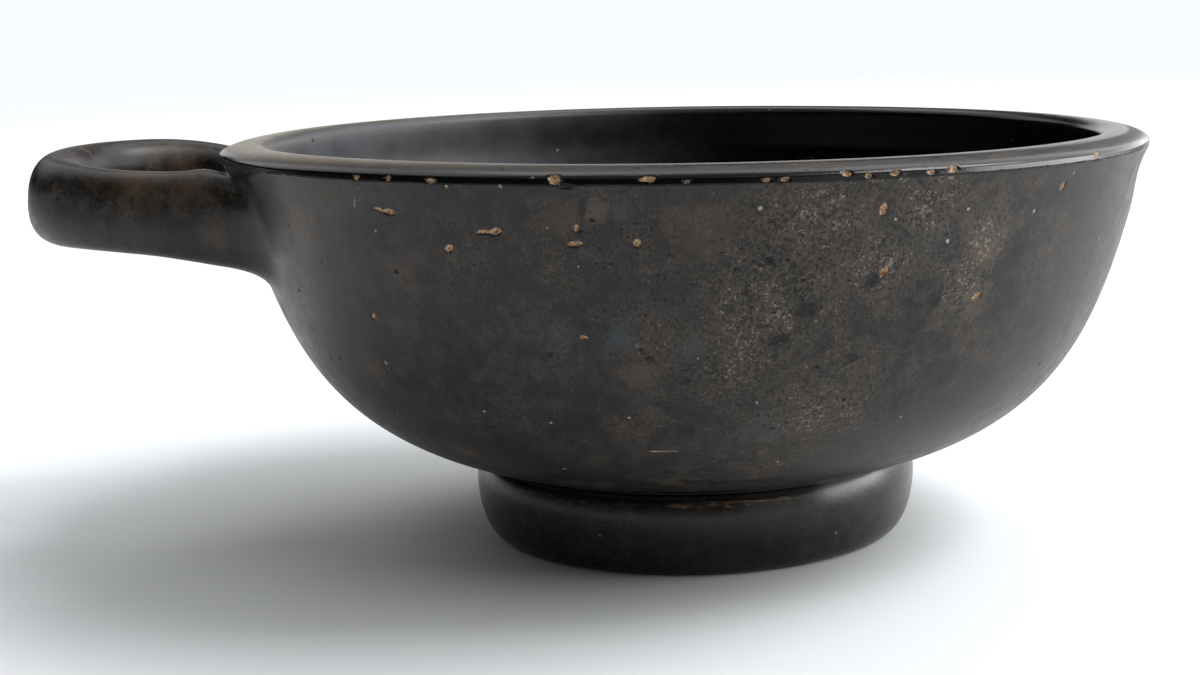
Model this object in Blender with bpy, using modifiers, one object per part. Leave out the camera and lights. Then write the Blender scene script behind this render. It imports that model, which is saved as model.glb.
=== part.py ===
"""A black-glazed bowl on a ring foot, with one horizontal loop handle.

Units are metres and +Z is up. The bowl stands on the plane z = 0 and its handle points along -X.
Wall, foot and handle were joined as wet clay and fired as one piece, so they make one solid.
The turned parts are drawn as a profile of (radius, height) points, from the middle of the floor
up the inside, over the lip, down the outside and round the foot to the middle of the underside.
"""
import math
from itertools import pairwise

import bmesh
import bpy
from mathutils import Vector
from mathutils.geometry import interpolate_bezier

MM = 0.001

# Lip: a broad rounded top that ends in a crisp outer edge, the widest place of the bowl
BOWL_HEIGHT = 58.0 * MM
RIM_RADIUS = 65.0 * MM
LIP_WIDTH = 6.8 * MM
LIP_EDGE_DROP = 2.0 * MM
LIP_CREST_INSET = 4.6 * MM
LIP_INNER_DROP = 1.4 * MM
LIP_DEPTH = 8.0 * MM

# Wall: a full curve out of the foot that straightens and flares to the lip
WALL_THICKNESS = 4.8 * MM
BELLY_SLOPE = math.radians(14.5)
BELLY_FULLNESS = 26.0 * MM
RIM_SLOPE = math.radians(75.0)
RIM_FULLNESS = 22.7 * MM
FLOOR_THICKNESS = 5.2 * MM

# Ring foot: a worn ridge under the joint, a shallow groove and a softly swelling face
FOOT_HEIGHT = 11.8 * MM
FOOT_TOP_RADIUS = 31.2 * MM
FOOT_RIDGE_RADIUS = 32.0 * MM
FOOT_RIDGE_DROP = 1.4 * MM
FOOT_GROOVE_DEPTH = 0.5 * MM
FOOT_GROOVE_DROP = 2.8 * MM
FOOT_SWELL_RADIUS = 32.3 * MM
FOOT_SWELL_HEIGHT = 6.2 * MM
FOOT_REST_OUTER_RADIUS = 28.8 * MM
FOOT_REST_WIDTH = 3.0 * MM
FOOT_BEVEL = 2.0 * MM
FOOT_CORNER = 1.5 * MM
UNDERSIDE_BOSS = 0.5 * MM

# Handle: a strap, taller than it is thick, bent to a squared horseshoe and flared at its roots.
# Bent by hand, the loop is twisted a little out of level, and its outer face leans inwards.
# Its tip is centred HANDLE_DROP under the top of the lip, and its roots lie HANDLE_SAG lower.
# The strap thickens and leans only near its tip, by its place along the arm to the power TIP_EASE.
HANDLE_REACH = 94.0 * MM
HANDLE_SPREAD = 44.0 * MM
HANDLE_THICKNESS = 8.4 * MM
HANDLE_TALLNESS = 12.4 * MM
HANDLE_DROP = 7.6 * MM
HANDLE_SAG = 1.2 * MM
HANDLE_SQUARENESS = 0.70
HANDLE_ARM_SLIMNESS = 0.88
HANDLE_TIP_EASE = 4
HANDLE_LEAN = math.radians(7.0)
HANDLE_TWIST = math.radians(2.2)
HANDLE_TWIST_ONSET = 1 / 3
ROOT_FLARE = 0.20
ROOT_FLARE_LENGTH = 13.0 * MM
ROOT_SINK = 0.7

# Fineness of the facets: around the axis, then along each stretch of the profile and the handle
TURNED_STEPS = 64
BELLY_STEPS = 17
FLOOR_STEPS = 6
LIP_STEPS = 5
FOOT_FACE_STEPS = 5
FOOT_GROOVE_STEPS = 3
SMALL_CURVE_STEPS = 2
HANDLE_STEPS = 17
HANDLE_ROUNDING = 3
MERGE_DISTANCE = 0.001 * MM


def clear_scene():
    """Remove every object, so that the script starts from nothing."""
    for old in list(bpy.data.objects):
        bpy.data.objects.remove(old, do_unlink=True)


def point(radius, height):
    return Vector((radius, 0.0, height))


def direction(slope):
    return Vector((math.cos(slope), 0.0, math.sin(slope)))


def bow(start, start_pull, end, end_pull, count):
    """Points of one smooth curve that leaves start along start_pull and meets end along end_pull."""
    return interpolate_bezier(start, start + start_pull, end - end_pull, end, count)


def rounded(start, end, count, flat_first):
    """Points of a quarter ellipse: level at its start if flat_first, or else level at its end."""
    points = []
    for step in range(count + 1):
        turn = math.pi / 2 * step / count
        along = math.sin(turn) if flat_first else 1 - math.cos(turn)
        down = 1 - math.cos(turn) if flat_first else math.sin(turn)
        points.append(point(start.x + (end.x - start.x) * along, start.z + (end.z - start.z) * down))
    return points


def eased(start, end, count):
    """Points from start to end whose radius swells gently, with no corner at either end."""
    points = []
    for step in range(count + 1):
        share = step / count
        swell = (1 - math.cos(math.pi * share)) / 2
        points.append(point(start.x + (end.x - start.x) * swell, start.z + (end.z - start.z) * share))
    return points


def joined(*runs):
    """One list from several runs of points, without the points that they share."""
    points = list(runs[0])
    for run in runs[1:]:
        near = (run[0] - points[-1]).length < MERGE_DISTANCE
        points.extend(run[1:] if near else run)
    return points


def belly_curve(count):
    """The outside of the wall, from the top of the foot up to the edge of the lip."""
    foot_top = point(FOOT_TOP_RADIUS, FOOT_HEIGHT)
    lip_edge = point(RIM_RADIUS, BOWL_HEIGHT - LIP_EDGE_DROP)
    start_pull = direction(BELLY_SLOPE) * BELLY_FULLNESS
    end_pull = direction(RIM_SLOPE) * RIM_FULLNESS
    return bow(foot_top, start_pull, lip_edge, end_pull, count)


def wall_radius(height):
    """The outside radius of the wall at a height, read off the belly curve."""
    for low, high in pairwise(belly_curve(BELLY_STEPS)):
        if low.z <= height <= high.z:
            return low.x + (high.x - low.x) * (height - low.z) / (high.z - low.z)
    return RIM_RADIUS


def inside_of(curve, thickness):
    """The curve moved into the clay by thickness, at a right angle to its own surface."""
    moved = []
    for index, here in enumerate(curve):
        before = curve[max(index - 1, 0)]
        after = curve[min(index + 1, len(curve) - 1)]
        along = (after - before).normalized()
        moved.append(here + Vector((-along.z, 0.0, along.x)) * thickness)
    return moved


def floor_curve(wall_start, count):
    """The floor, level in its middle, up to the wall, which it joins at the slope of the belly."""
    rise = wall_start.x * math.tan(BELLY_SLOPE) / 2
    middle = point(0.0, wall_start.z - rise)
    reach = wall_start.x / 3
    return bow(middle, point(reach, 0.0), wall_start, direction(BELLY_SLOPE) * reach, count)


def inner_profile():
    """From the middle of the floor up the inside wall to the inner side of the lip."""
    lip_foot = BOWL_HEIGHT - LIP_DEPTH
    wall = inside_of(belly_curve(BELLY_STEPS), WALL_THICKNESS)
    wall = [place for place in wall if place.z < lip_foot]
    lip_inside = point(RIM_RADIUS - LIP_WIDTH, BOWL_HEIGHT - LIP_INNER_DROP)
    upright = point(0.0, LIP_DEPTH / 3)
    wall_pull = (wall[-1] - wall[-2]).normalized() * LIP_DEPTH / 3
    floor = floor_curve(wall[0], FLOOR_STEPS)
    return joined(floor, wall, bow(wall[-1], wall_pull, lip_inside, upright, LIP_STEPS))


def lip_profile():
    """From the inner side of the lip over its crest to the crisp outer edge."""
    crest = point(RIM_RADIUS - LIP_CREST_INSET, BOWL_HEIGHT)
    inner = point(RIM_RADIUS - LIP_WIDTH, BOWL_HEIGHT - LIP_INNER_DROP)
    outer = point(RIM_RADIUS, BOWL_HEIGHT - LIP_EDGE_DROP)
    return joined(rounded(inner, crest, LIP_STEPS, False), rounded(crest, outer, LIP_STEPS, True))


def foot_profile(underside):
    """From the joint with the wall down the foot, across its resting face and into the recess."""
    foot_top = point(FOOT_TOP_RADIUS, FOOT_HEIGHT)
    ridge = point(FOOT_RIDGE_RADIUS, FOOT_HEIGHT - FOOT_RIDGE_DROP)
    groove = point(FOOT_RIDGE_RADIUS - FOOT_GROOVE_DEPTH, FOOT_HEIGHT - FOOT_GROOVE_DROP)
    swell = point(FOOT_SWELL_RADIUS, FOOT_SWELL_HEIGHT)
    rest_outer = point(FOOT_REST_OUTER_RADIUS, 0.0)
    rest_inner = point(FOOT_REST_OUTER_RADIUS - FOOT_REST_WIDTH, 0.0)
    recess_start = point(rest_inner.x - FOOT_BEVEL, FOOT_BEVEL)
    recess_top = point(recess_start.x, underside - FOOT_CORNER)
    recess_floor = point(recess_start.x - FOOT_CORNER, underside)
    middle = point(0.0, underside - UNDERSIDE_BOSS)
    neck = rounded(foot_top, ridge, SMALL_CURVE_STEPS, True)
    into_groove = eased(ridge, groove, SMALL_CURVE_STEPS)
    out_of_groove = eased(groove, swell, FOOT_GROOVE_STEPS)
    face = rounded(swell, rest_outer, FOOT_FACE_STEPS, False)
    corner = rounded(recess_top, recess_floor, SMALL_CURVE_STEPS, False)
    return joined(neck, into_groove, out_of_groove, face, [rest_inner, recess_start], corner, [middle])


def turned(name, profile, collection):
    """A solid of revolution: the profile turned once round the Z axis."""
    mesh = bpy.data.meshes.new(name)
    edges = [(index, index + 1) for index in range(len(profile) - 1)]
    mesh.from_pydata([tuple(place) for place in profile], edges, [])
    piece = bpy.data.objects.new(name, mesh)
    collection.objects.link(piece)
    screw = piece.modifiers.new("turn", "SCREW")
    screw.axis = "Z"
    screw.angle = math.tau
    screw.steps = TURNED_STEPS
    screw.render_steps = TURNED_STEPS
    screw.use_merge_vertices = True
    screw.merge_threshold = MERGE_DISTANCE
    screw.use_smooth_shade = True
    return piece


def wall_core(collection):
    """All that lies inside the middle of the wall: it trims the roots of the handle."""
    middle_of_wall = inside_of(belly_curve(BELLY_STEPS), WALL_THICKNESS / 2)
    above = point(middle_of_wall[-1].x, BOWL_HEIGHT * 2)
    below = point(middle_of_wall[0].x, 0.0)
    outline = [point(0.0, above.z), above] + middle_of_wall[::-1] + [below, point(0.0, 0.0)]
    core = turned("wall_core", outline, collection)
    core.hide_render = True
    core.display_type = "WIRE"
    return core


def handle_route():
    """The middle line of the handle from root to root, with its size and lean at each point."""
    half_strap = HANDLE_THICKNESS / 2
    half_tall = HANDLE_TALLNESS / 2
    lean_reach = (half_tall - half_strap) * math.sin(HANDLE_LEAN)
    tip_x = -(HANDLE_REACH - half_strap - lean_reach)
    root_height = BOWL_HEIGHT - HANDLE_DROP - HANDLE_SAG
    outside_radius = wall_radius(root_height)
    inside_radius = outside_radius - 2 * WALL_THICKNESS
    half_spread = HANDLE_SPREAD / 2
    root_x = -math.sqrt(inside_radius ** 2 - half_spread ** 2)
    root = Vector((root_x, half_spread, 0.0))
    tip = Vector((tip_x, 0.0, 0.0))
    root_pull = Vector(((tip_x - root_x) * HANDLE_SQUARENESS, 0.0, 0.0))
    tip_pull = Vector((0.0, -half_spread * HANDLE_SQUARENESS, 0.0))
    half = bow(root, root_pull, tip, tip_pull, HANDLE_STEPS)
    route = []
    for place in half + [Vector((p.x, -p.y, p.z)) for p in reversed(half[:-1])]:
        past_wall = max(0.0, math.hypot(place.x, place.y) - outside_radius)
        out = past_wall / (-tip_x - outside_radius)
        flare = ROOT_FLARE * max(0.0, 1 - past_wall / ROOT_FLARE_LENGTH) ** 2
        late = out ** HANDLE_TIP_EASE
        size = HANDLE_ARM_SLIMNESS + (1 - HANDLE_ARM_SLIMNESS) * late + flare
        twist = HANDLE_TWIST * math.sin(math.pi / 2 * min(1.0, out / HANDLE_TWIST_ONSET))
        height = root_height + HANDLE_SAG * out
        height += place.y * math.tan(twist) - ROOT_SINK * flare * half_tall
        route.append((Vector((place.x, place.y, height)), size, -HANDLE_LEAN * late))
    return route


def handle_strap(collection):
    """The handle as a closed mesh whose roots still reach into the hollow of the bowl."""
    route = handle_route()
    curve = bpy.data.curves.new("handle_curve", "CURVE")
    curve.dimensions = "3D"
    curve.twist_mode = "Z_UP"
    curve.bevel_depth = HANDLE_THICKNESS / 2
    curve.extrude = (HANDLE_TALLNESS - HANDLE_THICKNESS) / 2
    curve.bevel_resolution = HANDLE_ROUNDING
    curve.use_fill_caps = True
    spline = curve.splines.new("POLY")
    spline.points.add(len(route) - 1)
    for spot, (place, size, lean) in zip(spline.points, route):
        spot.co = (*place, 1.0)
        spot.radius = size
        spot.tilt = lean
    guide = bpy.data.objects.new("handle_curve", curve)
    collection.objects.link(guide)
    evaluated = guide.evaluated_get(bpy.context.evaluated_depsgraph_get())
    mesh = bpy.data.meshes.new_from_object(evaluated)
    shape = bmesh.new()
    shape.from_mesh(mesh)
    bmesh.ops.remove_doubles(shape, verts=shape.verts, dist=MERGE_DISTANCE)
    bmesh.ops.recalc_face_normals(shape, faces=shape.faces)
    shape.to_mesh(mesh)
    shape.free()
    mesh.shade_smooth()
    strap = bpy.data.objects.new("handle_strap", mesh)
    strap.matrix_world = guide.matrix_world
    collection.objects.link(strap)
    bpy.data.objects.remove(guide, do_unlink=True)
    strap.hide_render = True
    strap.display_type = "WIRE"
    return strap


def black_glaze():
    """The fired gloss: nearly black, warm, half shiny after its long burial."""
    material = bpy.data.materials.new("black_glaze")
    material.use_nodes = True
    shader = material.node_tree.nodes["Principled BSDF"]
    shader.inputs["Base Color"].default_value = (0.019, 0.017, 0.015, 1.0)
    shader.inputs["Roughness"].default_value = 0.42
    shader.inputs["Metallic"].default_value = 0.0
    return material


def bowl(parts, guides):
    """The whole bowl: the turned vessel with its foot, and the handle fused to the wall."""
    inside = inner_profile()
    underside = inside[0].z - FLOOR_THICKNESS
    outside = belly_curve(BELLY_STEPS)[::-1]
    profile = joined(inside, lip_profile(), outside, foot_profile(underside))
    vessel = turned("bowl", profile, parts)
    vessel.data.materials.append(black_glaze())
    strap = handle_strap(guides)
    trim = strap.modifiers.new("trim_roots", "BOOLEAN")
    trim.operation = "DIFFERENCE"
    trim.object = wall_core(guides)
    fuse = vessel.modifiers.new("fuse_handle", "BOOLEAN")
    fuse.operation = "UNION"
    fuse.object = strap
    return vessel


def main():
    clear_scene()
    parts = bpy.data.collections.new("black_glazed_bowl")
    guides = bpy.data.collections.new("guides")
    for collection in (parts, guides):
        bpy.context.scene.collection.children.link(collection)
    vessel = bowl(parts, guides)
    # The origin is the middle of the whole outline, so the axis of the bowl stands off it
    shift = (HANDLE_REACH - RIM_RADIUS) / 2
    placed = bpy.data.objects.new("placed", None)
    parts.objects.link(placed)
    placed.location.x = shift
    for piece in [vessel, *guides.objects]:
        piece.parent = placed


main()
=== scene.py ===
# %% [markdown]
# # A one-handled bowl in black glaze
# The real bowl is a drinking and eating vessel of fired clay, 130 mm across. A potter threw it on a
# wheel, turned its ring foot, and pressed one strap of clay onto its side as a handle. It was then
# coated with a fine clay slip that fires black and half glossy, and it has lain in the ground since.
#
# This lesson builds its looks in Blender around a solid model that already has the right size. The
# solid is faceted, so one fine piece is modelled here in its place, and then it is glazed and worn.

import math
import random
from collections import namedtuple

import bpy
import numpy as np
from mathutils import Matrix, Quaternion, Vector, noise
from mathutils.bvhtree import BVHTree
from mathutils.geometry import interpolate_bezier
from mathutils.kdtree import KDTree


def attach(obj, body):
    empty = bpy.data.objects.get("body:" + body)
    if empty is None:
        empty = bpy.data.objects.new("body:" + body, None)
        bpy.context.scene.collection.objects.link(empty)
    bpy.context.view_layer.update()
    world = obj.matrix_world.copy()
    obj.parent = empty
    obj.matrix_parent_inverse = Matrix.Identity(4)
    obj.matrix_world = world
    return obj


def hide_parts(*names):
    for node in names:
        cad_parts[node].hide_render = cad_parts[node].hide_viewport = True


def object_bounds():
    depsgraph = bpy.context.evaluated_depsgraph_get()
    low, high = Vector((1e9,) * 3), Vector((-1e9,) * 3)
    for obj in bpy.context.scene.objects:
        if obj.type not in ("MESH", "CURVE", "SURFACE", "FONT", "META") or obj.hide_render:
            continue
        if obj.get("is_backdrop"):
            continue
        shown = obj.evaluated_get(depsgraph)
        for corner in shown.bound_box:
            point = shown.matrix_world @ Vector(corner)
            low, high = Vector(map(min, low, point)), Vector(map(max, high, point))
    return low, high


MM = 0.001
TOUCHING = 0.01 * MM


def mm(length):
    """A length in millimetres, rounded for printing."""
    return round(length / MM, 2)


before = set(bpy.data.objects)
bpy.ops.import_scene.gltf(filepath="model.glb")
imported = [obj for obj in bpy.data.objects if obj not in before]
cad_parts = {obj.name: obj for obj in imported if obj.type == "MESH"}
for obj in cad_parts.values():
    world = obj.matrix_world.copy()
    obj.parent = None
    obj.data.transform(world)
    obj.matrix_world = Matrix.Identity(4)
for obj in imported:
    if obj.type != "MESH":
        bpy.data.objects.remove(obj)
cad_low, cad_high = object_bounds()
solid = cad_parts["bowl"]
print("the solid", solid.name, "from corner to corner, mm:", [mm(c) for c in (*cad_low, *cad_high)])

# %% [markdown]
# ## Sizes
# A few sizes drive the whole shape. The overall ones are read from the solid, so that the fine piece
# always fits it: its rim is the widest place across Y, and its handle reaches furthest along -X. The
# others are a potter's measures, in millimetres: how broad the lip is, how thick the wall. A drop is
# measured down from the top of the rim.

# %% driving sizes
RIM_RADIUS = cad_high.y
BOWL_HEIGHT = cad_high.z
AXIS_X = cad_high.x - RIM_RADIUS
HANDLE_REACH = AXIS_X - cad_low.x

LIP_WIDTH = 6.8 * MM
LIP_EDGE_DROP = 2.0 * MM
LIP_FACE_TOP_DROP = 1.45 * MM
LIP_FACE_BOTTOM_DROP = 2.1 * MM
LIP_FACE_TILT = math.radians(6.5)
LIP_FULLNESS = 1.7
NECK_DEPTH = 0.42 * MM
NECK_DROP = 5.6 * MM
NECK_REACH = 3.4 * MM
LIP_CREST_INSET = 4.6 * MM
LIP_INNER_DROP = 1.4 * MM
LIP_DEPTH = 8.0 * MM
WALL_THICKNESS = 4.8 * MM
BELLY_SLOPE = math.radians(14.5)
BELLY_FULLNESS = 26.0 * MM
RIM_SLOPE = math.radians(75.0)
RIM_FULLNESS = 22.7 * MM
FLOOR_THICKNESS = 5.2 * MM
FOOT_HEIGHT = 11.8 * MM
FOOT_TOP_RADIUS = 31.2 * MM
FOOT_RIDGE_RADIUS = 32.0 * MM
FOOT_RIDGE_DROP = 1.4 * MM
FOOT_SWELL_RADIUS = 32.2 * MM
FOOT_SWELL_HEIGHT = 8.2 * MM
FOOT_FULLNESS = 1.55
FOOT_REST_OUTER_RADIUS = 28.8 * MM
FOOT_REST_WIDTH = 3.0 * MM
FOOT_BEVEL = 2.0 * MM
FOOT_CORNER = 1.5 * MM
UNDERSIDE_BOSS = 0.5 * MM
print("rim radius", mm(RIM_RADIUS), "height", mm(BOWL_HEIGHT), "axis at x", mm(AXIS_X))

# %% [markdown]
# ## Working by hand, in code
# Blender's operators act on whatever is selected, so each step first selects just what it needs.
# These helpers do what the mouse does: clear the selection, make one object active, and pick
# vertices or faces by where they are.

# %% selection helpers
def pick(obj):
    """Select one object alone and make it active."""
    bpy.ops.object.select_all(action="DESELECT")
    obj.select_set(True)
    bpy.context.view_layer.objects.active = obj


def edit(obj, mode="VERT"):
    """Open an object in edit mode with nothing selected."""
    pick(obj)
    bpy.ops.object.mode_set(mode="EDIT")
    bpy.ops.mesh.select_mode(type=mode)
    bpy.ops.mesh.select_all(action="DESELECT")


def leave():
    bpy.ops.object.mode_set(mode="OBJECT")


def select_faces(obj, wanted):
    """From object mode: select the faces whose centre passes the test, and open edit mode on them."""
    edit(obj, "FACE")
    leave()
    chosen = [face for face in obj.data.polygons if wanted(face.center)]
    for face in chosen:
        face.select = True
    bpy.ops.object.mode_set(mode="EDIT")
    return len(chosen)


def size_of(obj):
    return f"{len(obj.data.vertices)} vertices, {len(obj.data.polygons)} faces"


# %% [markdown]
# ## The turned profile
# A thrown pot is a surface of revolution: the potter's fingers and the turning tool hold one outline
# while the clay goes round. So the vessel starts as half of its section. The belly is one smooth
# curve that leaves the foot nearly level and straightens as it flares to the lip. The inside follows
# it at the wall's thickness. Short arcs shape the lip and the foot. The outline runs from the middle
# of the floor, up the inside, over the lip, down the outside and round the foot.

# %% pieces of the outline
def at(radius, height):
    return Vector((radius, 0.0, height))


def heading(slope):
    return Vector((math.cos(slope), 0.0, math.sin(slope)))


def bow(start, start_pull, end, end_pull, count):
    """A smooth curve that leaves start along start_pull and arrives at end along end_pull."""
    return interpolate_bezier(start, start + start_pull, end - end_pull, end, count)


def arc(start, end, count):
    """A quarter ellipse, upright at its start and level at its end."""
    points = []
    for step in range(count + 1):
        turn = math.pi / 2 * step / count
        along = 1 - math.cos(turn)
        down = math.sin(turn)
        points.append(at(start.x + (end.x - start.x) * along, start.z + (end.z - start.z) * down))
    return points


def line(start, end, count):
    return [start.lerp(end, step / count) for step in range(count + 1)]


def belly(count):
    """The outside of the wall, from the top of the foot to the edge of the lip."""
    foot_top = at(FOOT_TOP_RADIUS, FOOT_HEIGHT)
    lip_edge = at(RIM_RADIUS, BOWL_HEIGHT - LIP_EDGE_DROP)
    foot_pull = heading(BELLY_SLOPE) * BELLY_FULLNESS
    lip_pull = heading(RIM_SLOPE) * RIM_FULLNESS
    return bow(foot_top, foot_pull, lip_edge, lip_pull, count)


def inside_of(curve, thickness):
    """The curve moved into the clay, square to its own surface."""
    moved = []
    for index, here in enumerate(curve):
        before = curve[max(index - 1, 0)]
        after = curve[min(index + 1, len(curve) - 1)]
        way = (after - before).normalized()
        moved.append(here + Vector((-way.z, 0.0, way.x)) * thickness)
    return moved


def joined(*runs):
    points = list(runs[0])
    for run in runs[1:]:
        touching = (run[0] - points[-1]).length < TOUCHING
        points.extend(run[1:] if touching else run)
    return points


# %% the whole outline
OUTSIDE_STEPS = 70
INSIDE_STEPS = 34
FLOOR_STEPS = 12
UNDER_LIP_STEPS = 9
INNER_LIP_STEPS = 8
SHOULDER_STEPS = 12
LIP_FACE_STEPS = 4
FOOT_FACE_STEPS = 12
BEVEL_STEPS = 2
SHORT_STEPS = 3
UNDERSIDE_STEPS = 8
WALL_START_DROP = 0.6 * MM


def inside_outline():
    lip_foot = BOWL_HEIGHT - LIP_DEPTH
    wall = [place for place in inside_of(belly(INSIDE_STEPS), WALL_THICKNESS) if place.z < lip_foot]
    rise = wall[0].x * math.tan(BELLY_SLOPE) / 2
    middle = at(0.0, wall[0].z - rise)
    third = wall[0].x / 3
    floor = bow(middle, at(third, 0.0), wall[0], heading(BELLY_SLOPE) * third, FLOOR_STEPS)
    lip_inside = at(RIM_RADIUS - LIP_WIDTH, BOWL_HEIGHT - LIP_INNER_DROP)
    wall_pull = (wall[-1] - wall[-2]).normalized() * LIP_DEPTH / 3
    under_lip = bow(wall[-1], wall_pull, lip_inside, at(0.0, LIP_DEPTH / 3), UNDER_LIP_STEPS)
    return joined(floor, wall, under_lip)


def fuller(crest, side, fullness, count):
    """A shoulder from a level crest down to an upright side: 2 is an ellipse, less is more sloped."""
    points = []
    for step in range(count + 1):
        turn = math.pi / 2 * step / count
        along = math.sin(turn) ** (2 / fullness)
        down = 1 - max(0.0, math.cos(turn)) ** (2 / fullness)
        points.append(at(crest.x + (side.x - crest.x) * along, crest.z + (side.z - crest.z) * down))
    return points


def lip_outline():
    """Over the lip: up its rounded inside to the crest, and down to a steep face with a crisp edge."""
    crest = at(RIM_RADIUS - LIP_CREST_INSET, BOWL_HEIGHT)
    inner = at(RIM_RADIUS - LIP_WIDTH, BOWL_HEIGHT - LIP_INNER_DROP)
    face_height = LIP_FACE_BOTTOM_DROP - LIP_FACE_TOP_DROP
    face_top = at(RIM_RADIUS - face_height * math.tan(LIP_FACE_TILT), BOWL_HEIGHT - LIP_FACE_TOP_DROP)
    face_bottom = at(RIM_RADIUS, BOWL_HEIGHT - LIP_FACE_BOTTOM_DROP)
    shoulder = fuller(crest, face_top, LIP_FULLNESS, SHOULDER_STEPS)
    face = line(face_top, face_bottom, LIP_FACE_STEPS)
    return joined(arc(inner, crest, INNER_LIP_STEPS), shoulder, face)


def neck(height):
    """How far the wall draws in just under the lip, so that the lip stands proud of it."""
    below_edge = (BOWL_HEIGHT - LIP_FACE_BOTTOM_DROP - height) / MM
    start = 1 - math.exp(-max(0.0, below_edge) ** 2)
    return NECK_DEPTH * start * math.exp(-((height - BOWL_HEIGHT + NECK_DROP) / NECK_REACH) ** 2)


def wall_outline():
    """From the lip's edge, down the outside of the wall, to the foot."""
    edge = lip_outline()[-1]
    wall = [place for place in belly(OUTSIDE_STEPS)[::-1] if place.z < edge.z - WALL_START_DROP]
    upper = joined(line(edge, wall[0], SHORT_STEPS), wall[1:])
    return [at(place.x - neck(place.z), place.z) for place in upper]


def foot_outline(underside):
    top = at(FOOT_TOP_RADIUS, FOOT_HEIGHT)
    swell = at(FOOT_SWELL_RADIUS, FOOT_SWELL_HEIGHT)
    rest_outer = at(FOOT_REST_OUTER_RADIUS, 0.0)
    rest_inner = at(FOOT_REST_OUTER_RADIUS - FOOT_REST_WIDTH, 0.0)
    recess_start = at(rest_inner.x - FOOT_BEVEL, FOOT_BEVEL)
    recess_top = at(recess_start.x, underside - FOOT_CORNER)
    recess_floor = at(recess_start.x - FOOT_CORNER, underside)
    middle = at(0.0, underside - UNDERSIDE_BOSS)
    shoulder = fuller(top, swell, FOOT_FULLNESS, SHOULDER_STEPS)
    face = arc(swell, rest_outer, FOOT_FACE_STEPS)
    rest = joined(line(rest_outer, rest_inner, SHORT_STEPS), line(rest_inner, recess_start, BEVEL_STEPS))
    recess = joined(line(recess_start, recess_top, SHORT_STEPS), arc(recess_top, recess_floor, SHORT_STEPS))
    return joined(shoulder, face, rest, recess, line(recess_floor, middle, UNDERSIDE_STEPS))


inside = inside_outline()
underside = inside[0].z - FLOOR_THICKNESS
outline = joined(inside, lip_outline(), wall_outline(), foot_outline(underside))
print("outline:", len(outline), "points; floor", mm(inside[0].z), "and underside", mm(underside), "mm up")

# %% [markdown]
# ## Throwing the vessel
# The outline could be drawn as a curve and turned by a Screw modifier. Here it is done as by hand: one
# vertex is extruded from point to point, and the Spin tool turns the wire once round the bowl's axis.
# Spin leaves a seam and two crowded poles, so doubles are merged before the normals are set.

# %% spin the outline
TURN_STEPS = 360


def vessel_from(outline):
    axis = Vector((AXIS_X, 0.0, 0.0))
    bpy.ops.mesh.primitive_plane_add(size=MM, location=axis + outline[0])
    vessel = bpy.context.active_object
    bpy.ops.object.transform_apply(location=True, rotation=True, scale=True)
    bpy.ops.object.mode_set(mode="EDIT")
    bpy.ops.mesh.select_all(action="SELECT")
    bpy.ops.mesh.merge(type="CENTER")
    bpy.ops.mesh.select_mode(type="VERT")
    for before, after in zip(outline, outline[1:]):
        bpy.ops.mesh.extrude_region_move(TRANSFORM_OT_translate={"value": after - before})
    bpy.ops.mesh.select_all(action="SELECT")
    bpy.ops.mesh.spin(steps=TURN_STEPS, angle=math.tau, center=axis, axis=(0.0, 0.0, 1.0))
    bpy.ops.mesh.select_all(action="SELECT")
    bpy.ops.mesh.remove_doubles(threshold=TOUCHING)
    bpy.ops.mesh.normals_make_consistent(inside=False)
    bpy.ops.object.mode_set(mode="OBJECT")
    return vessel


bowl = vessel_from(outline)
bowl.name = "glazed_bowl"
print("thrown:", size_of(bowl))

# %% [markdown]
# ## The handle's route
# A real handle is one strap of clay, rolled, flattened, bent to a squared horseshoe and pressed onto
# the wall just under the lip. It is taller than it is thick. Bent by hand, it is a little out of
# level, its outer face leans inwards, and it is slimmer along its arms than at its tip. The route is
# one smooth curve from root to tip, mirrored for the other arm, and cut into even steps. Near its
# root the far arm droops and slims a little, and the near arm swells.

# %% route of the strap
HANDLE_SPREAD = 44.0 * MM
HANDLE_THICKNESS = 8.4 * MM
HANDLE_TALLNESS = 12.4 * MM
HANDLE_DROP = 7.6 * MM
HANDLE_SAG = 1.2 * MM
HANDLE_SQUARENESS = 0.70
HANDLE_ARM_SLIMNESS = 0.88
HANDLE_TIP_EASE = 4
HANDLE_LEAN = math.radians(7.0)
HANDLE_TWIST = math.radians(2.2)
HANDLE_TWIST_ONSET = 1 / 3
ROOT_FLARE = 0.22
ROOT_FLARE_LENGTH = 16.0 * MM
ROOT_SINK = 0.85
FLARE_HASTE = 2.5
ROUTE_STEPS = 400
FAR_ARM_ARCH = 1.15 * MM
FAR_ARM_DIP = 5.0 * MM
FAR_ARM_SLIMMING = 0.33
NEAR_ARM_SWELL = 0.75 * MM
NEAR_ARM_DEPTH = 0.16 * MM
STRAP_STEP = 0.9 * MM
FILLET_LENGTH = 5.0 * MM

half_strap = HANDLE_THICKNESS / 2
half_tall = HANDLE_TALLNESS / 2
root_height = BOWL_HEIGHT - HANDLE_DROP - HANDLE_SAG


wall_heights = [place.z for place in belly(OUTSIDE_STEPS)]
wall_radii = [place.x for place in belly(OUTSIDE_STEPS)]


def wall_radius(height):
    """The outside radius of the wall at a height."""
    return float(np.interp(height, wall_heights, wall_radii)) - neck(height)


root_wall = wall_radius(root_height)
tip_x = -(HANDLE_REACH - half_strap - (half_tall - half_strap) * math.sin(HANDLE_LEAN))
root_x = -math.sqrt((root_wall - 2 * WALL_THICKNESS) ** 2 - (HANDLE_SPREAD / 2) ** 2)


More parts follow.
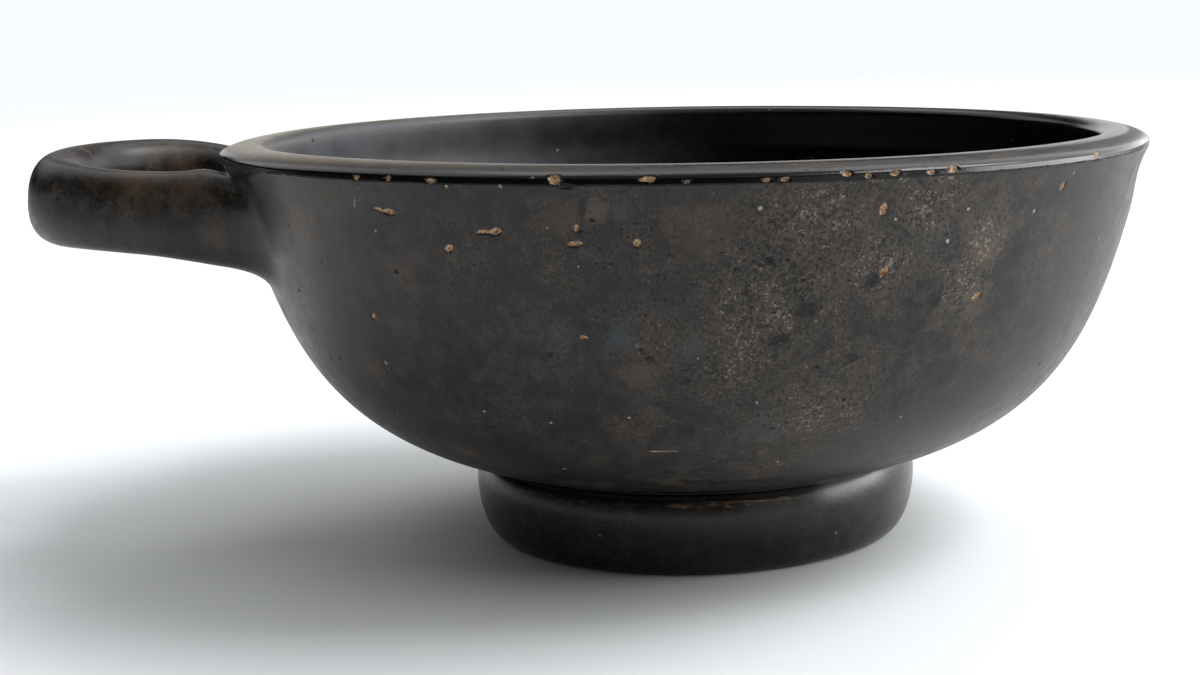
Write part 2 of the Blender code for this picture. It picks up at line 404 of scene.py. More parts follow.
def strap_stations():
    """Places along the strap, each with its size and lean, as far apart as STRAP_STEP."""
    root = Vector((root_x, HANDLE_SPREAD / 2, 0.0))
    tip = Vector((tip_x, 0.0, 0.0))
    root_pull = Vector(((tip_x - root_x) * HANDLE_SQUARENESS, 0.0, 0.0))
    tip_pull = Vector((0.0, -HANDLE_SPREAD / 2 * HANDLE_SQUARENESS, 0.0))
    half = bow(root, root_pull, tip, tip_pull, ROUTE_STEPS)
    fine = half + [Vector((p.x, -p.y, p.z)) for p in reversed(half[:-1])]
    free = [p for p in fine if math.hypot(p.x, p.y) > root_wall + FILLET_LENGTH]
    lengths = [0.0]
    for before, after in zip(free, free[1:]):
        lengths.append(lengths[-1] + (after - before).length)
    count = round(lengths[-1] / STRAP_STEP)
    stations = []
    for step in range(count + 1):
        want = lengths[-1] * step / count
        index = min(range(len(lengths)), key=lambda i: abs(lengths[i] - want))
        place = free[index]
        way = (free[min(index + 1, len(free) - 1)] - free[max(index - 1, 0)]).normalized()
        past_wall = math.hypot(place.x, place.y) - root_wall
        out = past_wall / (-tip_x - root_wall)
        late = out ** HANDLE_TIP_EASE
        flare = ROOT_FLARE * max(0.0, 1 - past_wall / ROOT_FLARE_LENGTH) ** FLARE_HASTE
        size = HANDLE_ARM_SLIMNESS + (1 - HANDLE_ARM_SLIMNESS) * late + flare
        twist = HANDLE_TWIST * math.sin(math.pi / 2 * min(1.0, out / HANDLE_TWIST_ONSET))
        height = root_height + HANDLE_SAG * out + place.y * math.tan(twist) - ROOT_SINK * flare * half_tall
        far_share = max(0.0, place.y / (HANDLE_SPREAD / 2))
        near_share = max(0.0, -place.y / (HANDLE_SPREAD / 2))
        rise = near_share * NEAR_ARM_SWELL * (1 - out) ** 2
        size += (rise + near_share * NEAR_ARM_DEPTH / 2) / half_tall
        height += rise - near_share * NEAR_ARM_DEPTH / 2
        dip = far_share * FAR_ARM_DIP * (1 - out) ** 2
        size -= FAR_ARM_SLIMMING * dip / half_tall
        height += far_share * FAR_ARM_ARCH * math.sin(math.pi * out) - (1 - FAR_ARM_SLIMMING) * dip
        turn = math.atan2(-way.x, way.y)
        stations.append((Vector((place.x + AXIS_X, place.y, height)), turn, size, HANDLE_LEAN * late))
    return stations


stations = strap_stations()
print("strap:", len(stations), "stations, the first at", [mm(c) for c in stations[0][0]])

# %% [markdown]
# ## Rolling the strap
# A long bent piece of even section is quickest as a curve that carries a smaller closed curve as its
# bevel object. The small curve is the strap's section, a rounded oval. Each point of the long curve
# has a radius and a tilt, which swell the roots and lean the tip. The clay roots are left open, with
# as many points round them as the openings that will be cut in the wall.

# %% the strap as a mesh
ROOT_COLUMNS = 17
ROOT_ROWS = 22
RING_POINTS = 2 * (ROOT_COLUMNS + ROOT_ROWS)
SECTION_ROUNDNESS = 2.42


def section_point(turn):
    """A point of a rounded oval, fuller than an ellipse, as tall as the strap."""
    across = math.copysign(abs(math.cos(turn)) ** (2 / SECTION_ROUNDNESS), math.cos(turn)) * half_strap
    upward = math.copysign(abs(math.sin(turn)) ** (2 / SECTION_ROUNDNESS), math.sin(turn)) * half_tall
    return across, upward


def poly_curve(name, points, closed):
    curve = bpy.data.curves.new(name, "CURVE")
    curve.dimensions = "3D"
    curve.twist_mode = "Z_UP"
    spline = curve.splines.new("POLY")
    spline.points.add(len(points) - 1)
    for spot, point in zip(spline.points, points):
        spot.co = (*point, 1.0)
    spline.use_cyclic_u = closed
    made = bpy.data.objects.new(name, curve)
    bpy.context.scene.collection.objects.link(made)
    return made


ring = [section_point(math.tau * (step + 0.5) / RING_POINTS) for step in range(RING_POINTS)]
section = poly_curve("strap_section", [(across, upward, 0.0) for across, upward in ring], True)
strap = poly_curve("strap", [place for place, turn, size, lean in stations], False)
for spot, (place, turn, size, lean) in zip(strap.data.splines[0].points, stations):
    spot.radius = size
    spot.tilt = -lean
strap.data.bevel_mode = "OBJECT"
strap.data.bevel_object = section
pick(strap)
bpy.ops.object.convert(target="MESH")
bpy.data.objects.remove(section)
print("strap:", size_of(strap))

# %% [markdown]
# ## Luting the handle to the wall
# On the real bowl the potter scored the wall, pressed the soft roots on and smoothed the clay across
# the joint with a wet finger, so no edge shows there. A Boolean would leave a hard crease. Instead a
# patch of wall is opened for each root, a little larger than the root itself, and the Bridge tool
# draws new clay between the two rims, curved so that it leaves both surfaces smoothly.

# %% open the wall
ROOT_INNER_ANGLE = 13.0
COLUMN_ANGLE = 360 / TURN_STEPS
ROOT_TOP = BOWL_HEIGHT - 2.3 * MM
ROOT_BOTTOM = 37.8 * MM
OUTER_SKIN = 1.0 * MM


def handle_angle(place):
    """Degrees round the bowl from the handle's middle, seen from its axis."""
    return math.degrees(math.atan2(place.y, -(place.x - AXIS_X)))


def in_root_patch(place):
    outside = math.hypot(place.x - AXIS_X, place.y) > wall_radius(place.z) - OUTER_SKIN
    columns = ROOT_INNER_ANGLE < abs(handle_angle(place)) < ROOT_INNER_ANGLE + ROOT_COLUMNS * COLUMN_ANGLE
    return outside and columns and ROOT_BOTTOM < place.z < ROOT_TOP


opened = select_faces(bowl, in_root_patch)
bpy.ops.mesh.delete(type="FACE")
leave()
print("faces opened:", opened)
print("each opening:", ROOT_COLUMNS, "faces across and", opened / 2 / ROOT_COLUMNS, "down")

# %% round the openings
OPENING_ROUNDNESS = 2.3
OPENING_SPREAD = 1.0
OPENING_EDGE = 0.99
half_columns = ROOT_COLUMNS * COLUMN_ANGLE / 2
patch_angle = ROOT_INNER_ANGLE + half_columns


def opening_heights():
    """The lowest and highest vertex on the rims of the two openings."""
    edit(bowl, "VERT")
    bpy.ops.mesh.select_non_manifold(extend=False)
    leave()
    heights = [vertex.co.z for vertex in bowl.data.vertices if vertex.select]
    return min(heights), max(heights)


opening_low, opening_high = opening_heights()
patch_height = (opening_low + opening_high) / 2
half_rows = (opening_high - opening_low) / 2


def round_openings():
    """Slide the wall's vertices round each opening along the wall, so that its corners are round."""
    moved = 0
    for vertex in bowl.data.vertices:
        place = vertex.co
        if place.z > opening_high + TOUCHING or place.z < opening_low - 2 * half_rows * OPENING_SPREAD:
            continue
        if math.hypot(place.x - AXIS_X, place.y) < wall_radius(place.z) - OUTER_SKIN:
            continue
        angle = handle_angle(place)
        across = (abs(angle) - patch_angle) / half_columns
        upward = (place.z - patch_height) / half_rows
        reach = max(abs(across), abs(upward))
        if reach < OPENING_EDGE or reach > 1 + OPENING_SPREAD:
            continue
        powers = abs(across) ** OPENING_ROUNDNESS + abs(upward) ** OPENING_ROUNDNESS
        full = powers ** (1 / OPENING_ROUNDNESS)
        share = max(0.0, 1 - (reach - 1) / OPENING_SPREAD) ** 2
        draw_in = 1 + (reach / full - 1) * share
        new_height = patch_height + upward * draw_in * half_rows
        new_angle = math.radians(math.copysign(patch_angle + across * draw_in * half_columns, angle))
        radius = wall_radius(new_height)
        vertex.co = (AXIS_X - radius * math.cos(new_angle), radius * math.sin(new_angle), new_height)
        moved += 1
    return moved


print("wall vertices slid round the openings:", round_openings())

# %% bridge each root to its opening
FILLET_CUTS = 10
FILLET_SMOOTHNESS = 0.7

pick(strap)
bowl.select_set(True)
bpy.context.view_layer.objects.active = bowl
bpy.ops.object.join()
for side in (1, -1):
    edit(bowl, "EDGE")
    bpy.ops.mesh.select_non_manifold(extend=False)
    leave()
    for edge in bowl.data.edges:
        middle = sum((bowl.data.vertices[index].co for index in edge.vertices), Vector()) / 2
        edge.select = edge.select and middle.y * side > 0
    bpy.ops.object.mode_set(mode="EDIT")
    bpy.ops.mesh.bridge_edge_loops(
        number_cuts=FILLET_CUTS, interpolation="SURFACE", smoothness=FILLET_SMOOTHNESS)
    leave()
edit(bowl, "VERT")
bpy.ops.mesh.select_all(action="SELECT")
bpy.ops.mesh.normals_make_consistent(inside=False)
leave()
bowl.data.shade_smooth()
print("with its handle:", size_of(bowl))

# %% [markdown]
# ## The potter's hand
# No thrown pot is perfectly round or smooth. The skin is moved in by a tenth of a millimetre or two,
# in slow waves round the pot, in low rings where the fingers rose with the clay, and on the handle in
# the soft dents of the fingers that pressed it on. Pressing the handle on also drew the rim a little
# towards the handle and down. Everything stays inside the solid's overall size.

# %% let the skin waver
WAVE_DEPTH = 0.14 * MM
WAVE_LENGTH = 45.0 * MM
RING_DEPTH = 0.035 * MM
RING_SPACING = 4.0 * MM
LUMP_DEPTH = 0.16 * MM
LUMP_SIZE = 9.0 * MM
RIM_PULL = 1.15 * MM
RIM_DIP = 0.40 * MM
PULL_START = 30.0 * MM
PULL_FADE = 8.0 * MM
PULL_FOCUS = 4
PULL_RISE = 6
LUMP_ONSET = 4.0 * MM
STEADY_HEIGHT = 3.0 * MM


def skin_waver(place):
    """How far the hand-made skin lies under the perfect one, never above it."""
    wave = WAVE_DEPTH * (0.5 + 0.5 * noise.noise(place / WAVE_LENGTH))
    ring = RING_DEPTH * (0.5 + 0.5 * noise.noise(Vector((0.0, 0.0, place.z / RING_SPACING))))
    on_handle = min(1.0, max(0.0, (math.hypot(place.x - AXIS_X, place.y) - RIM_RADIUS) / LUMP_ONSET))
    lump = LUMP_DEPTH * (0.5 + 0.5 * noise.noise(place / LUMP_SIZE)) * on_handle
    return (wave + ring + lump) * min(1.0, place.z / STEADY_HEIGHT)


def handle_pull(place):
    """How much of the pull on the rim a place took when the soft roots were pressed on, from 0 to 1."""
    towards = max(0.0, (AXIS_X - place.x) / RIM_RADIUS)
    high = max(0.0, (place.z - PULL_START) / (BOWL_HEIGHT - PULL_START))
    past_rim = max(0.0, math.hypot(place.x - AXIS_X, place.y) - RIM_RADIUS) / PULL_FADE
    return min(1.0, towards) ** PULL_FOCUS * high ** PULL_RISE * math.exp(-past_rim ** 2)


facings = [vertex.normal.copy() for vertex in bowl.data.vertices]
for vertex, facing in zip(bowl.data.vertices, facings):
    drawn = Vector((RIM_PULL, 0.0, RIM_DIP)) * handle_pull(vertex.co)
    vertex.co = vertex.co - facing * skin_waver(vertex.co) - drawn
bowl.data.update()
print("skin moved in by at most", mm(WAVE_DEPTH + RING_DEPTH + LUMP_DEPTH), "mm")

# %% [markdown]
# ## The camera
# The camera stands a little above the rim, close to the bowl, as a phone held in the hand would. Its
# place was worked out from the outlines of the rim, the foot and the handle. The picture is a crop
# of a wider one, so the lens looks past its middle, which is what the shift stands for.

# %% camera
IMAGE_WIDTH = 1200
IMAGE_HEIGHT = 675
SENSOR_WIDTH = 36.0
FOCAL_PIXELS = 1900
CAMERA_DISTANCE = 275.1 * MM
CAMERA_HEIGHT = 75.6 * MM
CAMERA_YAW = math.radians(1.69)
CAMERA_PITCH = math.radians(10.03)
CAMERA_ROLL = math.radians(-0.81)
LENS_CENTRE_COLUMN = 749.0
LENS_CENTRE_ROW = 339.3

camera_data = bpy.data.cameras.new("camera")
camera = bpy.data.objects.new("camera", camera_data)
bpy.context.scene.collection.objects.link(camera)
camera_data.sensor_width = SENSOR_WIDTH
camera_data.lens = FOCAL_PIXELS / IMAGE_WIDTH * SENSOR_WIDTH
camera_data.shift_x = (IMAGE_WIDTH / 2 - LENS_CENTRE_COLUMN) / IMAGE_WIDTH
camera_data.shift_y = (LENS_CENTRE_ROW - IMAGE_HEIGHT / 2) / IMAGE_WIDTH
camera_data.clip_start = 10 * MM
turned = Matrix.Rotation(-CAMERA_YAW, 4, "Z")
tilted = Matrix.Rotation(math.pi / 2 - CAMERA_PITCH, 4, "X")
rolled = Matrix.Rotation(CAMERA_ROLL, 4, "Z")
stand = Matrix.Translation((AXIS_X, -CAMERA_DISTANCE, CAMERA_HEIGHT))
camera.matrix_world = stand @ turned @ tilted @ rolled
bpy.context.scene.camera = camera
shift = [round(camera_data.shift_x, 4), round(camera_data.shift_y, 4)]
print("lens", round(camera_data.lens, 1), "mm, shift", shift)

# %% [markdown]
# ## Reading places off the photograph
# The chips, stains and crusts are where they are on the real bowl. Each was read as a column
# and a row of the photograph. A ray through that pixel, from the camera that was just set up, meets
# the bowl at the real place. What lies there is then given real sizes, in millimetres.

# %% rays from the camera
surface = BVHTree.FromObject(bowl, bpy.context.evaluated_depsgraph_get())


def ray_through(column, row):
    """Where the camera stands, and the way to what it sees at a pixel of the photograph."""
    across = (column - LENS_CENTRE_COLUMN) / FOCAL_PIXELS
    upward = (LENS_CENTRE_ROW - row) / FOCAL_PIXELS
    return camera.matrix_world.translation, camera.matrix_world.to_3x3() @ Vector((across, upward, -1.0))


def place_seen(column, row):
    """The place on the bowl that a pixel shows, and the way that the surface faces there."""
    place, facing, face, far = surface.ray_cast(*ray_through(column, row))
    if place is None:
        raise ValueError(f"the pixel {column}, {row} misses the bowl")
    return place, facing


middle_place = place_seen(IMAGE_WIDTH / 2, IMAGE_HEIGHT / 2)[0]
print("middle of the photograph meets the bowl at", [mm(c) for c in middle_place])

# %% [markdown]
# ## Chips, pits and grains
# The black slip is a skin about a hair thick over soft orange clay. Where it was knocked, a flake of
# skin and clay came away and left a shallow pit with a steep, ragged edge. These are real hollows, so
# they are pressed into the mesh. A mark has its pixel, its size across and upward, its tilt against
# the horizontal in degrees, and its depth. A negative depth is a grain that stands on the surface.

# %% marks seen in the photograph
Mark = namedtuple("Mark", "column row across upward tilt depth")

LIP_CHIPS = {
    "widest": Mark(554, 180, 1.5, 1.2, -25, 0.50),
    "crumb below it": Mark(561, 185, 0.5, 0.35, 0, 0.25),
    "right of the middle": Mark(649, 178.5, 1.5, 0.8, 0, 0.40),
    "its neighbour": Mark(641, 180, 0.5, 0.4, 0, 0.25),
    "narrow": Mark(687, 182, 0.6, 0.5, 20, 0.30),
    "left": Mark(388, 178, 0.6, 1.0, -20, 0.35),
    "left pair": Mark(430, 181, 1.2, 0.6, 0, 0.30),
    "notch at the left": Mark(446, 187, 0.4, 0.7, -10, 0.15),
    "far left": Mark(356, 178, 0.7, 0.9, -30, 0.30),
    "speck": Mark(532, 177, 0.5, 0.35, 20, 0.20),
    "first of the right row": Mark(767, 180, 0.7, 0.5, 0, 0.30),
    "second of the right row": Mark(785, 179, 0.9, 0.5, 10, 0.30),
    "third of the right row": Mark(847, 173, 1.1, 0.7, 0, 0.35),
    "fourth of the right row": Mark(869, 176, 0.9, 0.6, 20, 0.35),
    "fifth of the right row": Mark(896, 173, 1.0, 0.6, 15, 0.35),
    "sixth of the right row": Mark(932, 172, 0.9, 0.6, 0, 0.35),
    "seventh of the right row": Mark(954, 169, 1.2, 0.8, 30, 0.35),
    "right": Mark(1098, 154, 1.0, 0.7, 20, 0.30),
}
BODY_CHIPS = {
    "long dash, its tail": Mark(379, 209.5, 2.6, 0.34, -9, 0.20),
    "long dash, its head": Mark(389, 212, 1.8, 0.70, -8, 0.35),
    "second dash, its tail": Mark(482, 232, 1.9, 0.45, 2, 0.25),
    "second dash, its head": Mark(495, 231.5, 1.7, 0.85, 12, 0.40),
    "below the dash": Mark(449, 248, 1.3, 0.8, 15, 0.30),
    "upright": Mark(576, 228, 0.55, 1.0, -15, 0.25),
    "lying": Mark(575, 244, 1.8, 0.65, 8, 0.30),
    "round": Mark(637, 243, 0.85, 1.15, -10, 0.35),
    "oval": Mark(884, 209, 0.95, 1.5, -5, 0.40),
    "slanted": Mark(884, 272, 0.9, 1.6, -30, 0.40),
    "pink": Mark(977, 296, 1.3, 0.9, 20, 0.35),
    "at the right": Mark(1063, 186, 0.8, 1.1, -40, 0.30),
    "small right": Mark(1075, 173, 0.5, 0.5, 0, 0.20),
    "low middle": Mark(584, 338, 1.1, 0.5, -10, 0.25),
    "left pink": Mark(374, 317, 0.9, 0.8, 30, 0.25),
}
PALE_SPECKS = {
    "upper middle": Mark(547, 228, 0.35, 0.35, 0, 0.15),
    "middle": Mark(578, 267, 0.35, 0.28, 0, 0.15),
    "middle, lower": Mark(555, 276, 0.35, 0.35, 0, 0.15),
    "under the lip, right": Mark(844, 197, 0.42, 0.49, -30, 0.20),
    "far right": Mark(1035, 211, 0.56, 0.35, 45, 0.15),
    "left": Mark(323, 261, 0.35, 0.28, 0, 0.15),
    "low left": Mark(388, 370, 0.35, 0.35, 0, 0.15),
    "low left, lower": Mark(396, 413, 0.49, 0.35, -30, 0.20),
    "lower left": Mark(484, 412, 0.56, 0.35, 25, 0.20),
    "low middle": Mark(551, 423, 0.42, 0.35, 0, 0.15),
    "above that": Mark(573, 392, 0.35, 0.28, 0, 0.15),
    "low middle, right": Mark(629, 418, 0.42, 0.35, 0, 0.15),
    "left of the crust": Mark(698, 359, 0.35, 0.35, 0, 0.15),
    "below the crust": Mark(757, 403, 0.42, 0.35, 0, 0.15),
    "lowest": Mark(564, 469, 0.63, 0.35, 0, 0.20),
    "lowest, right": Mark(714, 462, 0.42, 0.28, 0, 0.15),
    "long scratch": Mark(660, 452, 4.2, 0.22, 1, 0.10),
    "short scratch": Mark(354, 204, 0.26, 1.6, -20, 0.10),
}
GRAINS = {
    "first": Mark(760, 208, 0.60, 0.60, 0, -0.15),
    "second": Mark(968, 209, 0.50, 0.50, 0, -0.15),
    "third": Mark(947, 241, 0.50, 0.50, 0, -0.12),
    "fourth": Mark(895, 219, 0.45, 0.45, 0, -0.12),
}
DARK_PITS = {
    "low left": Mark(550, 355, 0.9, 0.5, 20, 0.20),
    "low middle": Mark(650, 359, 1.0, 0.6, -20, 0.20),
    "lowest": Mark(685, 382, 1.2, 0.6, 20, 0.20),
    "in the crust": Mark(769, 261, 1.3, 0.7, -30, 0.20),
    "right of the crust": Mark(932, 301, 2.0, 1.8, -20, 0.08),
    "crust, middle": Mark(806, 310, 2.6, 1.9, 0, 0.05),
    "crust, low": Mark(778, 341, 2.4, 1.4, 10, 0.05),
    "crust, upper right": Mark(872, 281, 2.0, 1.4, 30, 0.06),
    "crust, lower right": Mark(852, 357, 2.1, 1.2, 0, 0.05),
    "lip's lower edge": Mark(565, 187, 1.8, 0.7, 0, 0.20),
    "upright, under the lip": Mark(582, 208, 0.8, 2.6, -12, 0.10),
}

# %% every mark at its place on the bowl
EDGE_RAGGEDNESS = 0.30
RAG_SIZE = 0.45 * MM
MARK_REACH = 1.9
Spot = namedtuple("Spot", "place facing along up half_across half_up depth kind")


def frame_on(facing, tilt):
    """Two ways that lie in the surface: one along it, turned by the tilt, and one square to that."""
    along = Vector((0.0, 0.0, 1.0)).cross(facing).normalized()
    along.rotate(Quaternion(facing, math.radians(tilt)))
    return along, facing.cross(along)


def spot_from(place, facing, across, upward, tilt, depth, kind):
    along, up = frame_on(facing, tilt)
    return Spot(place, facing, along, up, across / 2 * MM, upward / 2 * MM, depth * MM, kind)


spots = []
for kind, marks in (
        ("clay", LIP_CHIPS), ("clay", BODY_CHIPS), ("pale", PALE_SPECKS), ("pale", GRAINS),
        ("dark", DARK_PITS)):
    for mark in marks.values():
        place, facing = place_seen(mark.column, mark.row)
        spots.append(spot_from(place, facing, mark.across, mark.upward, mark.tilt, mark.depth, kind))
print("marks read from the photograph:", len(spots))

# %% [markdown]
# The photograph shows one side. A bowl this old is chipped all round, so the other sides get a few
# chips of the same kinds, drawn at random from a fixed seed: on the lip's edge, on the wall and round
# the foot. None of them faces the camera. A chip's sizes and its depth are in millimetres.

# %% marks on the sides that the photograph does not show
CHANCE = random.Random(4)
HIDDEN_SIDE_START = math.radians(12)
HIDDEN_SIDE_END = math.radians(168)
FAR_OUT = 120 * MM
SMALLEST_CHIP = 0.5
CHIP_DEPTH = 0.15
MOST_TILT = 35
HiddenChips = namedtuple("HiddenChips", "count lowest highest largest")

HIDDEN_CHIPS = {
    "lip": HiddenChips(16, BOWL_HEIGHT - 2.9 * MM, BOWL_HEIGHT - 1.6 * MM, 1.7),
    "wall": HiddenChips(18, 20 * MM, BOWL_HEIGHT - 5 * MM, 2.0),
    "foot": HiddenChips(7, 1.0 * MM, 9.5 * MM, 1.6),
}


def place_round(angle, height):
    """Where a level ray towards the axis, from an angle that turns from +X to +Y, meets the bowl."""
    way = Vector((math.cos(angle), math.sin(angle), 0.0))
    start = Vector((AXIS_X, 0.0, height)) + way * FAR_OUT
    place, facing, face, far = surface.ray_cast(start, -way)
    return place, facing


for chips in HIDDEN_CHIPS.values():
    for number in range(chips.count):
        angle = CHANCE.uniform(HIDDEN_SIDE_START, HIDDEN_SIDE_END)
        place, facing = place_round(angle, CHANCE.uniform(chips.lowest, chips.highest))
        across = CHANCE.uniform(SMALLEST_CHIP, chips.largest)
        upward = across * CHANCE.uniform(0.4, 0.9)
        tilt = CHANCE.uniform(-MOST_TILT, MOST_TILT)
        depth = CHIP_DEPTH + CHIP_DEPTH * across
        spots.append(spot_from(place, facing, across, upward, tilt, depth, "clay"))
print("marks in all:", len(spots))

# %% cut the mesh finer round the marks
FINE_CUTS = 3
FINE_REACH = 1.25
FINE_MARGIN = 0.75 * MM


def near_a_mark(place):
    for spot in spots:
        reach = max(spot.half_across, spot.half_up) * FINE_REACH + FINE_MARGIN
        if (place - spot.place).length < reach:
            return True
    return False


refined = select_faces(bowl, near_a_mark)
bpy.ops.mesh.subdivide(number_cuts=FINE_CUTS, quadcorner="INNERVERT")
leave()
print("faces cut finer:", refined, "now", size_of(bowl))

# %% press the marks in
EDGE_STEEPNESS = 3.0
MARK_MARGIN = 0.4 * MM
CHIP_GRAIN = 0.6 * MM
CHIP_UNEVENNESS = 0.35


def inside_mark(spot, place):
    """How far inside a mark's ragged edge a place is: 1 at its middle, 0 on the edge, less outside."""
    away = place - spot.place
    across = away.dot(spot.along) / spot.half_across
    upward = away.dot(spot.up) / spot.half_up
    rag = noise.noise(place / RAG_SIZE) * EDGE_RAGGEDNESS
    return 1 - math.hypot(across, upward) - rag


def press_marks():
    """Move the vertices of each mark in or out, and keep how far inside a mark each vertex is."""
    seen = {"clay": [-1.0] * len(bowl.data.vertices)}
    seen["pale"] = list(seen["clay"])
    seen["dark"] = list(seen["clay"])
    tree = KDTree(len(bowl.data.vertices))
    for vertex in bowl.data.vertices:
        tree.insert(vertex.co, vertex.index)
    tree.balance()
    for spot in spots:
        reach = max(spot.half_across, spot.half_up) * MARK_REACH + MARK_MARGIN
        for place, index, far in tree.find_range(spot.place, reach):
            share = inside_mark(spot, place)
            seen[spot.kind][index] = max(seen[spot.kind][index], share)
            if share > 0:
                unevenness = 1 + CHIP_UNEVENNESS * noise.noise(place / CHIP_GRAIN)
                sink = min(1.0, share * EDGE_STEEPNESS) * spot.depth * unevenness
                bowl.data.vertices[index].co = place - spot.facing * sink
    for kind, shares in seen.items():
        layer = bowl.data.attributes.new(kind, "FLOAT", "POINT")
        layer.data.foreach_set("value", shares)


press_marks()
print("deepest chip mm:", max(spot.depth for spot in spots) / MM)

# %% [markdown]
# ## Where the surface is worn, crusted, filmed, or painted with light and shade
# Some finishes follow the shape or the place, not a fine pattern. A vertex attribute holds each of
# them from 0 to 1: how far the slip is rubbed thin on edges, how thick the lime crust lies, how much
# the skin is pitted, where the inside has a grey film with a painted sheen on its lit left side, how
# far the lip's top is worn, with a painted reflection towards the left, where the lip face and foot
# kept their gloss, where painted shade darkens the belly above the foot and the inside away from the
# light, and where the slip fired bluish or brownish, the brown beside the handle partly a painted
# sheen. The material mixes them with noise, so no mask shows a soft edge.

# %% patches read from the photograph
Patch = namedtuple("Patch", "column row reach strength")

CRUST_PATCHES = {
    "upper middle": Patch(815, 215, 8.0, 0.70),
    "middle": Patch(770, 300, 9.0, 0.72),
    "below the middle": Patch(740, 350, 7.0, 0.72),
    "low": Patch(830, 410, 9.0, 0.60),
    "right": Patch(965, 285, 4.5, 0.85),
    "upper right": Patch(925, 208, 4.5, 0.90),
    "left of it": Patch(670, 345, 4.5, 0.55),
    "left": Patch(560, 340, 3.0, 0.45),
    "lowest": Patch(780, 455, 7.0, 0.50),
    "at the oval chip": Patch(884, 262, 5.0, 0.80),
    "right, above": Patch(985, 245, 4.0, 0.80),
    "lip, first": Patch(880, 176, 1.6, 0.90),
    "lip, second": Patch(905, 174, 1.6, 0.90),
    "lip, third": Patch(945, 171, 2.0, 1.00),
    "below the lip": Patch(955, 190, 2.5, 0.80),
    "left middle": Patch(560, 270, 5.0, 0.35),
}
PITTED_PATCHES = {
    "middle": Patch(640, 270, 16.0, 0.75),
    "right": Patch(790, 270, 15.0, 1.00),
    "low": Patch(740, 400, 13.0, 0.70),
    "upper right": Patch(940, 235, 7.0, 0.70),
    "left": Patch(480, 260, 7.0, 0.55),
}
BLUE_PATCHES = {
    "large": Patch(622, 339, 2.0, 1.00),
    "its neighbour": Patch(692, 347, 2.4, 0.90),
    "small": Patch(584, 254, 1.2, 0.60),
    "upper": Patch(622, 214, 1.4, 0.90),
    "left belly": Patch(400, 326, 4.0, 0.60),
    "at the middle": Patch(560, 336, 2.6, 0.70),
    "low": Patch(765, 430, 4.0, 0.60),
    "left, under the lip": Patch(355, 195, 3.0, 0.60),
}
BROWN_AND_SHEEN_PATCHES = {
    "under the lip": Patch(595, 213, 1.8, 1.00),
    "beside it": Patch(560, 215, 3.5, 0.60),
    "left": Patch(330, 215, 5.0, 0.60),
    "at the right": Patch(985, 250, 3.0, 0.90),
    "right, low": Patch(975, 300, 2.6, 0.80),
    "reddish": Patch(465, 452, 2.2, 1.00),
    "middle": Patch(700, 232, 6.0, 0.60),
    "left belly": Patch(400, 270, 5.0, 0.55),
    "low left": Patch(370, 365, 5.0, 0.60),
    "middle, low": Patch(640, 375, 2.5, 0.80),
    "handle, above": Patch(187, 188, 4.5, 0.70),
    "handle, above, nearer its tip": Patch(140, 178, 6.0, 0.80),
    "handle, below": Patch(215, 235, 3.0, 0.60),
    # These two patches beside the handle are brown stain, and also a painted sheen that stands for a
    # reflection of the floor.
    "wall beside the handle": Patch(300, 225, 6.0, 0.85),
    "below that": Patch(310, 290, 6.0, 0.70),
    "far arm": Patch(175, 158, 4.0, 0.80),
}

# %% patches on the sides that the photograph does not show
HiddenPatch = namedtuple("HiddenPatch", "turn height reach strength")

HIDDEN_CRUST = {
    "behind, high": HiddenPatch(75, 42, 9.0, 0.60),
    "behind, middle": HiddenPatch(110, 30, 8.0, 0.75),
    "right side": HiddenPatch(25, 36, 7.0, 0.55),
    "left side": HiddenPatch(140, 38, 6.0, 0.45),
}
HIDDEN_PITTED = {
    "behind": HiddenPatch(90, 36, 18.0, 0.80),
    "right side": HiddenPatch(30, 40, 13.0, 0.55),
    "left side": HiddenPatch(145, 34, 11.0, 0.50),
}
HIDDEN_BLUE = {
    "behind": HiddenPatch(95, 24, 4.0, 0.70),
    "right side": HiddenPatch(15, 40, 3.5, 0.60),
}
HIDDEN_BROWN = {
    "behind": HiddenPatch(65, 34, 6.0, 0.70),
    "left side": HiddenPatch(150, 44, 5.0, 0.60),
    "right side": HiddenPatch(5, 30, 5.0, 0.60),
}


def places_of(piece):
    coordinates = np.empty(len(piece.data.vertices) * 3)
    piece.data.vertices.foreach_get("co", coordinates)
    return coordinates.reshape(-1, 3)


def mask_from(seen, hidden):
    """A soft mask over all vertices: the strongest of the patches at each place."""
    blobs = []
    for patch in seen.values():
        middle, facing = place_seen(patch.column, patch.row)
        blobs.append((middle, patch.reach, patch.strength))
    for patch in hidden.values():
        middle, facing = place_round(math.radians(patch.turn), patch.height * MM)
        blobs.append((middle, patch.reach, patch.strength))
    places = places_of(bowl)
    mask = np.zeros(len(places))
    for middle, reach, strength in blobs:
        away = np.linalg.norm(places - np.array(middle), axis=1) / (reach * MM)
        mask = np.maximum(mask, strength * np.exp(-away ** 2))
    return mask


def keep_mask(name, mask):
    layer = bowl.data.attributes.new(name, "FLOAT", "POINT")
    layer.data.foreach_set("value", mask)
    print(name, "mask, mean", round(float(np.mean(mask)), 3), "highest", round(float(np.max(mask)), 2))


keep_mask("crust", mask_from(CRUST_PATCHES, HIDDEN_CRUST))
keep_mask("pitted", mask_from(PITTED_PATCHES, HIDDEN_PITTED))
keep_mask("blue_cast", mask_from(BLUE_PATCHES, HIDDEN_BLUE))
keep_mask("brown_stain_and_sheen", mask_from(BROWN_AND_SHEEN_PATCHES, HIDDEN_BROWN))

